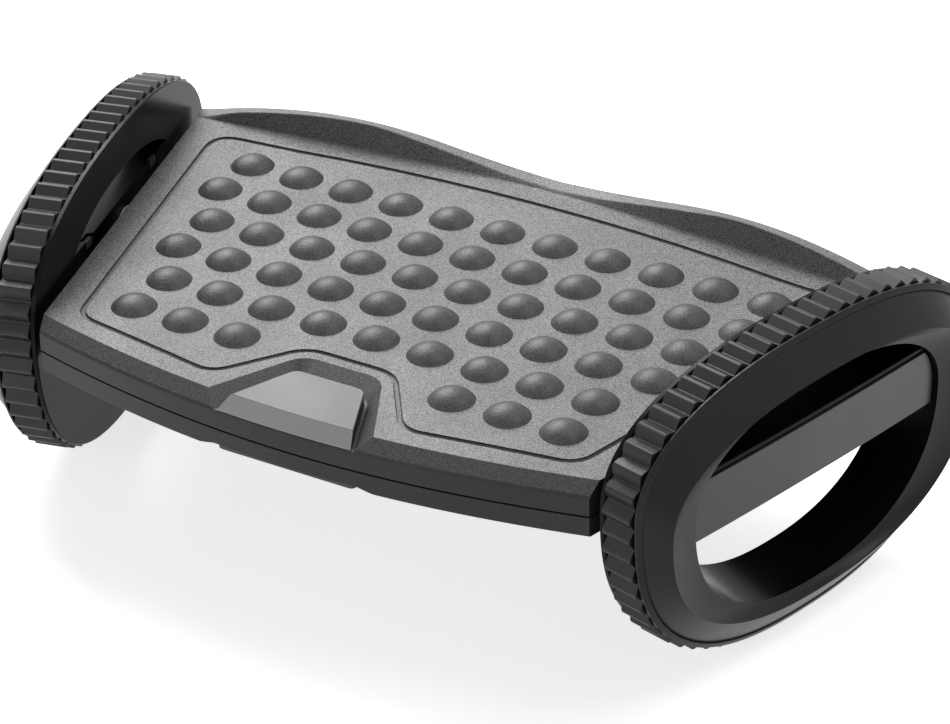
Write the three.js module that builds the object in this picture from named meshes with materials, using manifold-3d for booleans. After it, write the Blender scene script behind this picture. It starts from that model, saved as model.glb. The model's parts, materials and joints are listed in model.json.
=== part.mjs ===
// Tilting under desk footrest: a bumpy deck carried at each end by a ribbed, egg-shaped wheel.
// Millimetres. +X is the user's right, +Y the back, +Z up. The origin is on the floor below the middle.

import * as THREE from "three";
import { mergeVertices } from "three/addons/utils/BufferGeometryUtils.js";
import Module from "manifold-3d";

const wasm = await Module();
wasm.setup();

// Fits and walls
const seatGap = 0.3;
const runGap = 0.4;
const overrun = 2;
const wall = 2.5;
const degree = Math.PI / 180;

// Deck, seen from above
const deckDepth = 263;
const hubSpan = 364;
const hubSetback = 6.8;
const toeAngle = 14 * degree;
const frontBow = 20;
const backBow = 18;

// Deck, seen from the side
const deckThickness = 27.5;
const partingDrop = 16.5;
const revealGap = 0.8;
const topWall = 3;
const lipReach = 6.6;
const bevelDrop = 6.6;
const lipRound = 0.8;
const floorRound = 1;
const tongueRise = 1.6;
const tongueWall = 1.5;

// Raised back edge: heights at even steps from the middle to the end
const edgeBand = 9;
const edgeLean = 1.5;
const edgeRound = 1;
const edgePeak = 13.8;
const edgeRiseShares = [0.09, 0.2, 0.47, 0.75, 0.98, 0.95, 0.77, 0.48, 0];
const edgeFallShares = [0.17, 0.27, 0.46, 0.7, 0.83, 0.83, 0.68, 0.42, 0.08];

// Bumps, in rows from the back
const bumpPitch = 30;
const bumpDiameter = 23;
const bumpHeight = 5.7;
const bumpRingShare = 0.58;
const bumpRowCounts = [11, 11, 10, 10, 9, 9];
const backRowInset = 49.7;

// Groove round the bumps
const grooveWidth = 3;
const grooveDepth = 1.3;
const grooveSideInset = 16.5;
const grooveBackInset = 14.7;
const grooveFrontInset = 11.5;
const grooveBadgeInset = 6.8;
const grooveBackRadius = 15;
const grooveFrontRadius = 10;
const grooveCornerShare = 0.9;
const grooveBadgeShare = 0.35;
const grooveTurnShare = 0.7;
const grooveNeckShare = 0.34;
const grooveFlareShare = 0.95;
const grooveBackShares = [0.75, 0.6, 0.45, 0.3, 0.15];

// Badge pocket in the front edge and the plate in it
const pocketBackHalf = 22.2;
const pocketFrontHalf = 46.5;
const pocketDepth = 48;
const pocketCorner = 9;
const pocketWall = 3;
const plateBackHalf = 19.2;
const plateFrontHalf = 34.9;
const plateDepth = 36.5;
const plateCorner = 4;
const plateDrop = 0.8;
const plateCrease = 1.9;
const plateWall = 2.7;
const plateEndGap = 1.6;

// Screws from below, in pillars
const screwHeadRadius = 3.5;
const screwHeadHeight = 2.2;
const screwShankRadius = 1.8;
const screwLength = 13;
const screwCrownShare = 0.8;
const headClearance = 0.5;
const pillarWall = 2.5;
const pillarHeight = 5.2;
const bossRadius = 4.6;
const bossInset = 14;
const frontScrewShares = [0.5, 0.82];
const backScrewShares = [0.35, 0.8];

// Stiffening ribs under the top shell
const ribWall = 2;
const ribDepth = 18;
const ribInset = 30;
const ribShares = [0.2, 0.62];

// Grip pad in a shallow recess under the front
const padHalf = 38;
const padDepth = 26;
const padWall = 2.4;
const padInset = 1.8;
const padBevel = 0.4;
const padCorner = 3;
const padRecess = 2.4;
const padRecessMargin = 1.5;
const padRecessSlope = 10;

// Bracket and axle inside each end of the deck
const carrierHalf = 34;
const carrierWall = 4;
const carrierReach = 29;
const carrierFoot = 3;
const carrierScrewSetIn = 24;
const carrierScrewSpread = 22;
const carrierBossRise = 8;
const spigotRadius = 6;
const flangeRadius = 11;
const flangeWall = 3;
const spigotBore = 2;
const spigotBoreDepth = 14;

// Stack on the axle, outboard from the deck's side
const wheelGap = 3.45;
const thrustRadius = 14;
const hubLength = 15;
const bushRadius = 8.5;
const bossWall = 3;
const waveRadius = 9;
const waveWall = 0.5;
const waveSwing = 0.35;
const waveCount = 4;
const washerRadius = 9;
const washerWall = 1.5;
const retainerHeadRadius = 4.5;
const retainerHeadHeight = 2.5;
const retainerShankRadius = 1.6;
const retainerLength = 12;

// Wheel outline at the cover's edge, seen from outboard with the axle as origin
const wheelHalf = 119.2;
const wheelTop = 57.5;
const wheelBottom = 98.2;
const wheelWidestShare = 0.644;
const wheelPower = 2.41;

// Ridge, funnel and tunnel, as insets one from the next
const ridgeEndInset = 11.1;
const ridgeTopInset = 18;
const ridgeBottomInset = 19;
const ridgeWidestShare = 0.623;
const ridgePower = 2.34;
const funnelEndInset = 21.2;
const funnelTopInset = 4.1;
const funnelBottomInset = 3.2;
const openingWidestShare = 0.614;
const openingPower = 2.28;
const tunnelEndTaper = 6.5;
const tunnelBottomTaper = 6.9;
const tunnelWidestShare = 0.582;

// Wheel, across its width
const rimFlange = 3;
const treadWidth = 16.9;
const treadGap = 1.5;
const coverEdge = 0.9;
const bevelWidth = 2.6;
const bevelRise = 1.4;
const creaseWidth = 0.6;
const creaseDepth = 0.7;
const ridgeRise = 13.6;
const funnelDrop = 5.5;
const rimWall = 2;
const coverWall = 2.8;
const skirtWall = 1.6;
const skirtDepth = 4;
const skirtRise = 3;

// Tread ribs
const ribCount = 62;
const ribProud = 2.1;
const valleyDepth = 1.2;
const treadBase = 2.5;
const treadRibShares = [[-0.46, 0], [-0.15, 1], [0.15, 1], [0.46, 0]];

// Crossbar channel and its cover
const barTopInboard = 21.2;
const barTopOutboard = 14.9;
const barBottomInboard = 19.9;
const barBottomOutboard = 18.5;
const barWall = 2.6;
const barRecess = 2.75;
const barBow = 1.3;
const barStep = 1.2;
const barCoverWall = 2.5;
const barEndGap = 0.8;
const armSpread = 45;
const armWidth = 8;
const armWall = 2;
const hookRise = 2;
const windowMargin = 0.8;

// Facets
const eggSides = 48;
const deckStations = 24;
const bumpSides = 10;
const roundSides = 16;
const smallSides = 8;
const barStations = 12;
const arcSteps = 5;
const treadSamples = 768;

// Solids and meshes

function toSolid(geometry) {
  const bare = geometry.clone();
  bare.deleteAttribute("normal");
  bare.deleteAttribute("uv");
  const merged = mergeVertices(bare);
  const corners = merged.index.array;
  const faces = [];
  for (let i = 0; i < corners.length; i += 3) {
    const [a, b, c] = corners.slice(i, i + 3);
    if (a !== b && b !== c && c !== a) faces.push(a, b, c);
  }
  const vertProperties = merged.attributes.position.array;
  const triVerts = new Uint32Array(faces);
  return new wasm.Manifold(new wasm.Mesh({ numProp: 3, vertProperties, triVerts }));
}

function toGeometry(solid) {
  const { vertProperties, triVerts } = solid.getMesh();
  const geometry = new THREE.BufferGeometry();
  geometry.setAttribute("position", new THREE.BufferAttribute(vertProperties, 3));
  geometry.setIndex(new THREE.BufferAttribute(triVerts, 1));
  const faceted = geometry.toNonIndexed();
  faceted.computeVertexNormals();
  return faceted;
}

// Skin over rings of points; across names the axes that show a ring, or is left out to join last to first
function loft(rings, across) {
  const count = rings[0].length;
  const seen = (ring) => ring.map((point) => new THREE.Vector2(point[across[0]], point[across[1]]));
  const clockwise = across && THREE.ShapeUtils.isClockWise(seen(rings[0]));
  const rows = clockwise ? rings.map((ring) => ring.toReversed()) : rings;
  const faces = [];
  const strips = across ? rows.length - 1 : rows.length;
  for (let row = 0; row < strips; row += 1) {
    const upper = ((row + 1) % rows.length) * count;
    for (let i = 0; i < count; i += 1) {
      const next = (i + 1) % count;
      const [a, b, c, d] = [row * count + i, row * count + next, upper + i, upper + next];
      faces.push(a, b, d, a, d, c);
    }
  }
  if (across) {
    const last = (rows.length - 1) * count;
    for (const [a, b, c] of THREE.ShapeUtils.triangulateShape(seen(rows[0]), [])) faces.push(c, b, a);
    for (const [a, b, c] of THREE.ShapeUtils.triangulateShape(seen(rows.at(-1)), [])) {
      faces.push(last + a, last + b, last + c);
    }
  }
  const geometry = new THREE.BufferGeometry().setFromPoints(rows.flat());
  geometry.setIndex(faces);
  return geometry;
}

function block(x0, x1, y0, y1, z0, z1) {
  const geometry = new THREE.BoxGeometry(x1 - x0, y1 - y0, z1 - z0);
  return toSolid(geometry.translate((x0 + x1) / 2, (y0 + y1) / 2, (z0 + z1) / 2));
}

function post(x, y, radius, low, high, sides = smallSides) {
  const geometry = new THREE.CylinderGeometry(radius, radius, high - low, sides);
  return toSolid(geometry.rotateX(Math.PI / 2).translate(x, y, (low + high) / 2));
}

// A round bar along the axle, from one distance outboard to another
function axleBar(radius, inner, outer) {
  const geometry = new THREE.CylinderGeometry(radius, radius, outer - inner, roundSides);
  return toSolid(geometry.rotateZ(Math.PI / 2).translate((inner + outer) / 2, 0, 0));
}

function union(solids) {
  return wasm.Manifold.union(solids);
}

function mesh(name, geometry, finish) {
  const made = new THREE.Mesh(geometry, new THREE.MeshStandardMaterial(finish));
  made.name = name;
  return made;
}

// Places on the deck; its frame has the top surface at zero height

const front = -deckDepth / 2 + lipReach;
const back = deckDepth / 2 - edgeBand;
const frontEdge = (share) => front + frontBow * share * share;
const backCrease = (share) => back - backBow * share * share;

function halfWidth(y, inset) {
  return hubSpan / 2 + (y - hubSetback) * Math.tan(toeAngle) - inset / Math.cos(toeAngle);
}

function alongEdge(shares, share) {
  const steps = new THREE.SplineCurve(shares.map((height, i) => new THREE.Vector2(i, height)));
  return edgePeak * Math.max(0, steps.getPoint(Math.abs(share)).y);
}

// The deck's end as seen from its wheel: outboard is +X, the axle is the origin
function sideMatrix(side) {
  const turn = side === "right" ? -toeAngle : Math.PI + toeAngle;
  const place = side === "right" ? hubSpan / 2 : -hubSpan / 2;
  return new THREE.Matrix4().makeRotationZ(turn).setPosition(place, hubSetback, -partingDrop);
}

const sides = ["right", "left"];

// A deck body: one fore-and-aft section for each share of the half width, between the slanted sides
function deckBody(section, inset) {
  const rings = [];
  for (let i = 0; i <= deckStations; i += 1) {
    const share = (2 * i) / deckStations - 1;
    rings.push(section(share).map(([y, z]) => new THREE.Vector3(share * halfWidth(y, inset), y, z)));
  }
  return toSolid(loft(rings, ["y", "z"]));
}

function topSection(share) {
  const edge = frontEdge(share);
  const crease = backCrease(share);
  const rise = alongEdge(edgeRiseShares, share);
  const fall = alongEdge(edgeFallShares, share);
  return [
    [edge - lipReach, -partingDrop],
    [crease + edgeBand, -partingDrop],
    [crease + edgeBand, fall - edgeRound],
    [crease + edgeBand - edgeRound, fall],
    [crease + edgeLean, rise],
    [crease, 0],
    [edge, 0],
    [edge - lipReach + lipRound, -bevelDrop + lipRound],
    [edge - lipReach, -bevelDrop - lipRound],
  ];
}

function topCavity(share) {
  const edge = frontEdge(share);
  const crease = backCrease(share);
  const rise = alongEdge(edgeRiseShares, share);
  const fall = alongEdge(edgeFallShares, share);
  return [
    [edge - lipReach + wall, -partingDrop - overrun],
    [crease + edgeBand - wall, -partingDrop - overrun],
    [crease + edgeBand - wall, fall - topWall - edgeRound],
    [crease + edgeLean + wall, Math.max(rise, fall) - topWall],
    [crease + wall, -topWall],
    [edge, -topWall],
    [edge - lipReach + wall, -bevelDrop - wall],
  ];
}

// A pocket outline, from its eased back corners to past the front of the lip
function pocketOutline(backHalf, frontHalf, depth, corner) {
  const reach = lipReach + overrun;
  const wide = backHalf + ((frontHalf - backHalf) * (depth + reach)) / depth;
  const corners = [
    [backHalf, front + depth, corner],
    [-backHalf, front + depth, corner],
    [-wide, front - reach, 0],
    [wide, front - reach, 0],
  ];
  return rounded(corners).map(({ x, y }) => [x, y]);
}

function plateOutline(beside, behind) {
  return pocketOutline(plateBackHalf + beside, plateFrontHalf + beside, plateDepth + behind, plateCorner);
}

function stack(levels) {
  const rings = levels.map(([outline, z]) => outline.map(([x, y]) => new THREE.Vector3(x, y, z)));
  return toSolid(loft(rings, ["x", "y"]));
}

// A trench with sloped walls round the plate, as deep as the front bevel
function pocketCutter() {
  const mouth = pocketOutline(pocketBackHalf, pocketFrontHalf, pocketDepth, pocketCorner);
  const foot = plateOutline(plateEndGap, seatGap);
  const above = mouth.map(([x, y], i) => [2 * x - foot[i][0], 2 * y - foot[i][1]]);
  return stack([[foot, -bevelDrop], [mouth, 0], [above, bevelDrop]]);
}

function pocketBody(outer) {
  const low = plateOutline(plateEndGap + pocketWall, pocketWall);
  const high = pocketOutline(pocketBackHalf + pocketWall, pocketFrontHalf + pocketWall,
    pocketDepth + pocketWall, pocketCorner);
  return stack([[low, -bevelDrop - pocketWall], [high, -topWall / 2]]).intersect(outer);
}

// Corner points rounded by short arcs; each corner is a place and the length cut from its legs
function rounded(corners) {
  const points = [];
  corners.forEach(([x, y, cut], i) => {
    const corner = new THREE.Vector2(x, y);
    if (!cut) {
      points.push(corner);
      return;
    }
    const [before, after] = [corners.at(i - 1), corners[(i + 1) % corners.length]].map(([nextX, nextY]) =>
      new THREE.Vector2(nextX - x, nextY - y).setLength(cut).add(corner));
    points.push(...new THREE.QuadraticBezierCurve(before, corner, after).getPoints(arcSteps));
  });
  return points;
}

// A closed line moved sideways by the same distance all round
function shifted(points, distance) {
  return points.map((point, i) => {
    const along = points[(i + 1) % points.length].clone().sub(points.at(i - 1)).normalize();
    return new THREE.Vector2(point.x + along.y * distance, point.y - along.x * distance);
  });
}

function grooveLine() {
  const sideX = (y) => halfWidth(y, grooveSideInset);
  const backEnd = backCrease(grooveCornerShare) - grooveBackInset;
  const frontEnd = frontEdge(grooveCornerShare) + grooveFrontInset;
  const pocketBack = front + pocketDepth + grooveBadgeInset;
  const badgeFront = frontEdge(grooveBadgeShare) + grooveFrontInset;
  const half = [
    [sideX(frontEnd), frontEnd, grooveFrontRadius],
    [sideX(backEnd), backEnd, grooveBackRadius],
    ...grooveBackShares.map((share) =>
      [share * sideX(backEnd), backCrease(share) - grooveBackInset, 0]),
  ];
  const badge = [
    [pocketBackHalf + grooveBadgeInset * grooveNeckShare, pocketBack, grooveFrontRadius],
    [pocketFrontHalf + grooveBadgeInset * grooveFlareShare, badgeFront, grooveFrontRadius],
    [grooveTurnShare * sideX(frontEnd), frontEdge(grooveTurnShare) + grooveFrontInset, 0],
  ];
  const right = [...badge, ...half];
  const left = right.map(([x, y, cut]) => [-x, y, cut]).reverse();
  return rounded([...right, [0, back - grooveBackInset, 0], ...left]);
}

function groove() {
  const line = grooveLine();
  const shape = new THREE.Shape(shifted(line, grooveWidth / 2));
  shape.holes.push(new THREE.Path(shifted(line, -grooveWidth / 2)));
  const geometry = new THREE.ExtrudeGeometry(shape, { depth: grooveDepth + overrun, bevelEnabled: false });
  return toSolid(geometry.translate(0, 0, -grooveDepth));
}

function bumpPlaces() {
  const clear = pocketBackHalf + bumpDiameter;
  return bumpRowCounts.flatMap((count, row) => {
    const y = deckDepth / 2 - edgeBand - backRowInset - row * bumpPitch;
    const inFrontRow = y < front + pocketDepth + grooveBadgeInset;
    return Array.from({ length: count }, (_, i) => [(i - (count - 1) / 2) * bumpPitch, y])
      .filter(([x]) => !inFrontRow || Math.abs(x) > clear);
  });
}

function bump() {
  const radius = bumpDiameter / 2;
  const sphere = (radius * radius + bumpHeight * bumpHeight) / (2 * bumpHeight);
  const height = (r) => Math.sqrt(sphere * sphere - r * r) - sphere + bumpHeight;
  const profile = [[0, -topWall / 2], [radius, -topWall / 2], [radius, 0]];
  profile.push([radius * bumpRingShare, height(radius * bumpRingShare)], [0, bumpHeight]);
  const points = profile.map(([r, z]) => new THREE.Vector2(r, z));
  return new THREE.LatheGeometry(points, bumpSides).rotateX(Math.PI / 2);
}

// Screw places: closing screws by shares of the width, bracket screws as seen from each wheel
function shellScrewPlaces() {
  const places = [];
  for (const share of frontScrewShares) {
    const y = frontEdge(share) + bossInset;
    places.push([-share * halfWidth(y, 0), y], [share * halfWidth(y, 0), y]);
  }
  for (const share of backScrewShares) {
    const y = backCrease(share) - bossInset;
    places.push([-share * halfWidth(y, 0), y], [share * halfWidth(y, 0), y]);
  }
  return places;
}

function carrierScrewPlaces(side) {
  return [-carrierScrewSpread, carrierScrewSpread].map((along) => {
    const place = new THREE.Vector3(-carrierScrewSetIn, along, 0).applyMatrix4(sideMatrix(side));
    return [place.x, place.y];
  });
}

function spigotHole(side) {
  const radius = spigotRadius + seatGap * 2;
  const reach = carrierReach / 2;
  const geometry = new THREE.CylinderGeometry(radius, radius, reach * 2, roundSides).rotateZ(Math.PI / 2);
  return toSolid(geometry.applyMatrix4(sideMatrix(side)));
}

const pillarTop = -deckThickness + pillarHeight;
const screwSeat = -deckThickness + screwHeadHeight + headClearance;
const pilotRadius = screwShankRadius + seatGap;

function topShell() {
  const outer = deckBody(topSection, 0);
  const into = -topWall / 2;
  const ribs = ribShares.flatMap((share) => [-share, share]).map((share) => {
    const x = share * (hubSpan / 2);
    return block(x - ribWall / 2, x + ribWall / 2, front + ribInset, back - ribInset, -ribDepth, into);
  });
  const bosses = shellScrewPlaces().map(([x, y]) => post(x, y, bossRadius, pillarTop + seatGap, into));
  const pilots = shellScrewPlaces().map(([x, y]) =>
    post(x, y, pilotRadius, -deckThickness, screwSeat + screwLength + overrun));
  const bumps = bumpPlaces().map(([x, y]) => toSolid(bump().translate(x, y, 0)));
  return outer
    .subtract(deckBody(topCavity, wall))
    .add(union([...ribs, ...bosses, pocketBody(outer)]))
    .subtract(union([...pilots, pocketCutter(), groove(), ...sides.map(spigotHole)]))
    .add(union(bumps));
}

function lowSection(inset, low, high, rim) {
  return (share) => {
    const frontY = frontEdge(share) - lipReach + inset;
    const backY = backCrease(share) + edgeBand - inset;
    return [
      [frontY + rim, low],
      [backY - rim, low],
      [backY, low + rim],
      [backY, high],
      [frontY, high],
      [frontY, low + rim],
    ];
  };
}

const padFront = front - lipReach + padInset;
const padRoof = -deckThickness + padRecess;

function padRecessCutter() {
  const shallow = padHalf + padRecessMargin;
  const deep = shallow + padRecessSlope * (1 + overrun / padRecess);
  const from = front - lipReach - overrun;
  const to = padFront + padDepth + padRecessMargin;
  const outline = (half) => [[-half, from], [half, from], [half, to], [-half, to]];
  return stack([[outline(deep), -deckThickness - overrun], [outline(shallow), padRoof]]);
}

// Extra floor above the recess
function padBacking() {
  const half = padHalf + padRecessMargin + padRecessSlope;
  const to = padFront + padDepth + padRecessMargin + wall;
  return block(-half, half, front - lipReach, to, -deckThickness + wall / 2, padRoof + wall);
}

function bottomShell() {
  const tongueInset = wall + seatGap;
  const cavityInset = tongueInset + tongueWall;
  const seam = -partingDrop - revealGap;
  const body = deckBody(lowSection(0, -deckThickness, seam, floorRound), 0);
  const tongueSection = lowSection(tongueInset, -deckThickness + floorRound, -partingDrop + tongueRise, 0);
  const tongue = deckBody(tongueSection, tongueInset);
  const cavity = deckBody(lowSection(cavityInset, -deckThickness + wall, overrun, 0), cavityInset);
  const screws = [...shellScrewPlaces(), ...sides.flatMap(carrierScrewPlaces)];
  const pillars = screws.map(([x, y]) =>
    post(x, y, screwHeadRadius + headClearance + pillarWall, -deckThickness + wall / 2, pillarTop));
  const sinks = screws.map(([x, y]) =>
    post(x, y, screwHeadRadius + headClearance, -deckThickness - overrun, screwSeat));
  const holes = screws.map(([x, y]) => post(x, y, pilotRadius, -deckThickness, overrun));
  return body.add(tongue).subtract(cavity).add(union([padBacking().intersect(body), ...pillars]))
    .subtract(union([padRecessCutter(), ...sinks, ...holes, ...sides.map(spigotHole)]));
}

function plateSection(share) {
  const edge = frontEdge(share);
  return [
    [edge - lipReach + lipRound, -bevelDrop + seatGap],
    [back, -bevelDrop + seatGap],
    [back, -plateDrop],
    [edge + plateCrease, -plateDrop],
  ];
}

// A cap, open below, with a flat top and a front strip that slopes to the lip
function badgePlate() {
  const plan = plateOutline(0, 0);
  const core = plateOutline(-plateWall, -plateWall);
  const stripEnd = front + plateCrease;
  const behindStrip = block(-pocketFrontHalf, pocketFrontHalf, stripEnd, back, -deckThickness, 0);
  const hollow = stack([[core, -bevelDrop - overrun], [core, -plateDrop - plateWall]]);
  return deckBody(plateSection, 0)
    .intersect(stack([[plan, -deckThickness], [plan, 0]]))
    .subtract(hollow.intersect(behindStrip));
}

function gripPad() {
  const corners = rounded([
    [-padHalf, padFront, padCorner],
    [padHalf, padFront, padCorner],
    [padHalf, padFront + padDepth, padCorner],
    [-padHalf, padFront + padDepth, padCorner],
  ]);
  const settings = { depth: padWall - 2 * padBevel, bevelThickness: padBevel, bevelSize: padBevel,
    bevelOffset: -padBevel, bevelSegments: 1 };
  const geometry = new THREE.ExtrudeGeometry(new THREE.Shape(corners), settings);
  return geometry.translate(0, 0, padRoof - seatGap - padWall + padBevel);
}

// A screw seen from below: head, shank and blunt end, standing on its head
function screwGeometry(headRadius, headHeight, shankRadius, length) {
  const profile = [
    [0, 0],
    [headRadius * screwCrownShare, 0],
    [headRadius, headHeight / 2],
    [headRadius, headHeight],
    [shankRadius, headHeight],
    [shankRadius, headHeight + length],
    [0, headHeight + length],
  ];
  return new THREE.LatheGeometry(profile.map(([r, z]) => new THREE.Vector2(r, z)), smallSides);
}

function shellScrew() {
  return screwGeometry(screwHeadRadius, screwHeadHeight, screwShankRadius, screwLength - seatGap)
    .rotateX(Math.PI / 2);
}

// Pieces at each end of the deck, in the wheel's frame: outboard is +X, the axle is the origin

const carrierOuter = -(wall + 2 * seatGap + tongueWall);
const carrierInner = carrierOuter - carrierWall;
const footLow = pillarTop + seatGap + partingDrop;
const footHigh = footLow + carrierFoot;
const floorTop = partingDrop - deckThickness + wall + seatGap;
const spigotEnd = wheelGap + hubLength + seatGap + waveWall + 2 * waveSwing + seatGap;

function sideCarrier() {
  const high = partingDrop - topWall - seatGap * 2;
  const plate = block(carrierInner, carrierOuter, -carrierHalf, carrierHalf, floorTop, high);
  const foot = block(-carrierReach, carrierOuter, -carrierHalf, carrierHalf, footLow, footHigh);
  const slot = flangeRadius + 2 * seatGap;
  const notchInner = carrierInner - flangeWall - 3 * seatGap;
  const notch = block(notchInner, carrierInner, -slot, slot, footLow - overrun, footHigh + overrun);
  const spots = [-carrierScrewSpread, carrierScrewSpread];
  const bosses = spots.map((along) =>
    post(-carrierScrewSetIn, along, bossRadius, footLow, footLow + carrierBossRise));
  const pilots = spots.map((along) =>
    post(-carrierScrewSetIn, along, pilotRadius, footLow - overrun, partingDrop));
  const bore = axleBar(spigotRadius + seatGap, carrierInner - overrun, carrierOuter + overrun);
  return plate.add(foot).subtract(notch).add(union(bosses)).subtract(union([bore, ...pilots]));
}

function spigot() {
  const flangeOuter = carrierInner - seatGap;
  const flange = axleBar(flangeRadius, flangeOuter - flangeWall, flangeOuter);
  const floor = block(-carrierReach, 0, -flangeRadius * 2, flangeRadius * 2, -flangeRadius * 2, floorTop);
  const shaft = axleBar(spigotRadius, flangeOuter - flangeWall, spigotEnd);
  const bore = axleBar(spigotBore, spigotEnd - spigotBoreDepth, spigotEnd + overrun);
  return flange.subtract(floor).add(shaft).subtract(bore);
}

function ring(outerRadius, innerRadius, inner, outer) {
  const hole = axleBar(innerRadius, inner - overrun, outer + overrun);
  return axleBar(outerRadius, inner, outer).subtract(hole);
}

function waveWasher() {
  const inner = wheelGap + hubLength + seatGap;
  const middle = inner + waveWall / 2 + waveSwing;
  const rings = [];
  for (let i = 0; i < roundSides; i += 1) {
    const turn = (2 * Math.PI * i) / roundSides;
    const wave = middle + waveSwing * Math.cos(waveCount * turn);
    const at = (radius, face) =>
      new THREE.Vector3(wave + (face * waveWall) / 2, radius * Math.cos(turn), radius * Math.sin(turn));
    const hole = spigotRadius + runGap;
    rings.push([at(hole, -1), at(hole, 1), at(waveRadius, 1), at(waveRadius, -1)]);
  }
  return loft(rings);
}

function retainingScrew() {
  return screwGeometry(retainerHeadRadius, retainerHeadHeight, retainerShankRadius, retainerLength)
    .rotateZ(Math.PI / 2);
}

// Egg outlines: flatter above their widest line than below it

function egg(half, top, bottom, widestShare, power) {
  return { half, top, bottom, widestShare, power };
}

function inset(shape, distance) {
  const { half, top, bottom, widestShare, power } = shape;
  return egg(half - distance, top - distance, bottom - distance, widestShare, power);
}

function eggPoint(shape, turn) {
  const middle = THREE.MathUtils.lerp(-shape.bottom, shape.top, shape.widestShare);
  const reach = Math.sin(turn) > 0 ? shape.top - middle : shape.bottom + middle;
  const bulge = (value) => Math.sign(value) * Math.abs(value) ** (2 / shape.power);
  return [shape.half * bulge(Math.cos(turn)), middle + reach * bulge(Math.sin(turn))];
}

function eggTurns() {
  return Array.from({ length: eggSides }, (_, i) => (2 * Math.PI * i) / eggSides - Math.PI / 2);
}

function eggRing(shape, outboard) {
  return eggTurns().map((turn) => new THREE.Vector3(outboard, ...eggPoint(shape, turn)));
}

function eggBody(levels) {
  return toSolid(loft(levels.map(([shape, outboard]) => eggRing(shape, outboard)), ["y", "z"]));
}

const wheelEgg = egg(wheelHalf, wheelTop, wheelBottom, wheelWidestShare, wheelPower);
const ridgeEgg = egg(wheelHalf - ridgeEndInset, wheelTop - ridgeTopInset, wheelBottom - ridgeBottomInset,
  ridgeWidestShare, ridgePower);
const openingEgg = egg(ridgeEgg.half - funnelEndInset, ridgeEgg.top - funnelTopInset,
  ridgeEgg.bottom - funnelBottomInset, openingWidestShare, openingPower);
const tunnelEgg = egg(openingEgg.half - tunnelEndTaper, openingEgg.top,
  openingEgg.bottom - tunnelBottomTaper, tunnelWidestShare, openingPower);
const treadHole = inset(wheelEgg, valleyDepth + treadBase);
const drumEgg = inset(treadHole, seatGap);
const skirtEgg = inset(drumEgg, wall + seatGap);

const plateEnd = wheelGap + rimFlange;
const treadStart = plateEnd + seatGap;
const treadEnd = treadStart + treadWidth;
const coverStart = treadEnd + treadGap;
const drumEnd = coverStart - seatGap;
const ridgeTop = coverStart + ridgeRise;
const openingEdge = ridgeTop - funnelDrop;
const tunnelEnd = openingEdge - seatGap;
const barFace = (along) => openingEdge - barRecess + barBow * (1 - (along / openingEgg.half) ** 2);

// Crossbar bodies: one section in outboard distance and height for each place along the bar
function barBody(section) {
  const rings = [];
  for (let i = 0; i <= barStations; i += 1) {
    const along = ((2 * i) / barStations - 1) * openingEgg.half;
    rings.push(section(along).map(([outboard, z]) => new THREE.Vector3(outboard, along, z)));
  }
  return toSolid(loft(rings, ["z", "x"]));
}

function channelOuter(along) {
  const face = barFace(along) - barStep;
  const step = barFace(along) - barCoverWall - seatGap;
  return [
    [wheelGap, -barBottomInboard],
    [step, -barBottomOutboard],
    [step, barTopOutboard - barWall],
    [face, barTopOutboard - barWall],
    [face, barTopOutboard],
    [wheelGap, barTopInboard],
  ];
}

function channelCavity(along) {
  const past = barFace(along) - barCoverWall - seatGap + overrun;
  return [
    [plateEnd, -barBottomInboard + barWall],
    [past, -barBottomOutboard + barWall],
    [past, barTopOutboard - barWall],
    [plateEnd, barTopInboard - barWall],
  ];
}

function tunnelHollow(clearance) {
  return eggBody([
    [inset(tunnelEgg, clearance), wheelGap - overrun],
    [inset(tunnelEgg, clearance), wheelGap],
    [inset(openingEgg, clearance), tunnelEnd],
    [inset(openingEgg, clearance), tunnelEnd + overrun],
  ]);
}

function windowCutter(along) {
  const half = armWidth / 2 + windowMargin;
  const low = barTopInboard - barWall - armWall - 2 * windowMargin;
  const high = barTopInboard + overrun;
  return block(wheelGap - overrun, plateEnd + windowMargin, along - half, along + half, low, high);
}

function wheelFrame() {
  const flange = eggBody([[wheelEgg, wheelGap], [wheelEgg, plateEnd]]);
  const drum = eggBody([[drumEgg, wheelGap + rimFlange / 2], [drumEgg, drumEnd]]);
  const drumInner = inset(drumEgg, wall);
  const drumHollow = eggBody([[drumInner, plateEnd], [drumInner, drumEnd + overrun]]);
  const tunnel = eggBody([[inset(tunnelEgg, -wall), wheelGap], [inset(openingEgg, -wall), tunnelEnd]]);
  const hollow = tunnelHollow(0);
  const cavity = barBody(channelCavity).intersect(hollow);
  const channel = barBody(channelOuter).intersect(tunnel).subtract(cavity);
  const boss = axleBar(bushRadius + seatGap + bossWall, wheelGap, wheelGap + hubLength);
  const bore = axleBar(bushRadius + seatGap, 0, wheelGap + hubLength + overrun);
  const windows = [-armSpread, armSpread].map(windowCutter);
  return flange.add(drum).subtract(drumHollow).add(tunnel).subtract(hollow)
    .add(channel).add(boss).subtract(union([bore, ...windows]));
}

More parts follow.
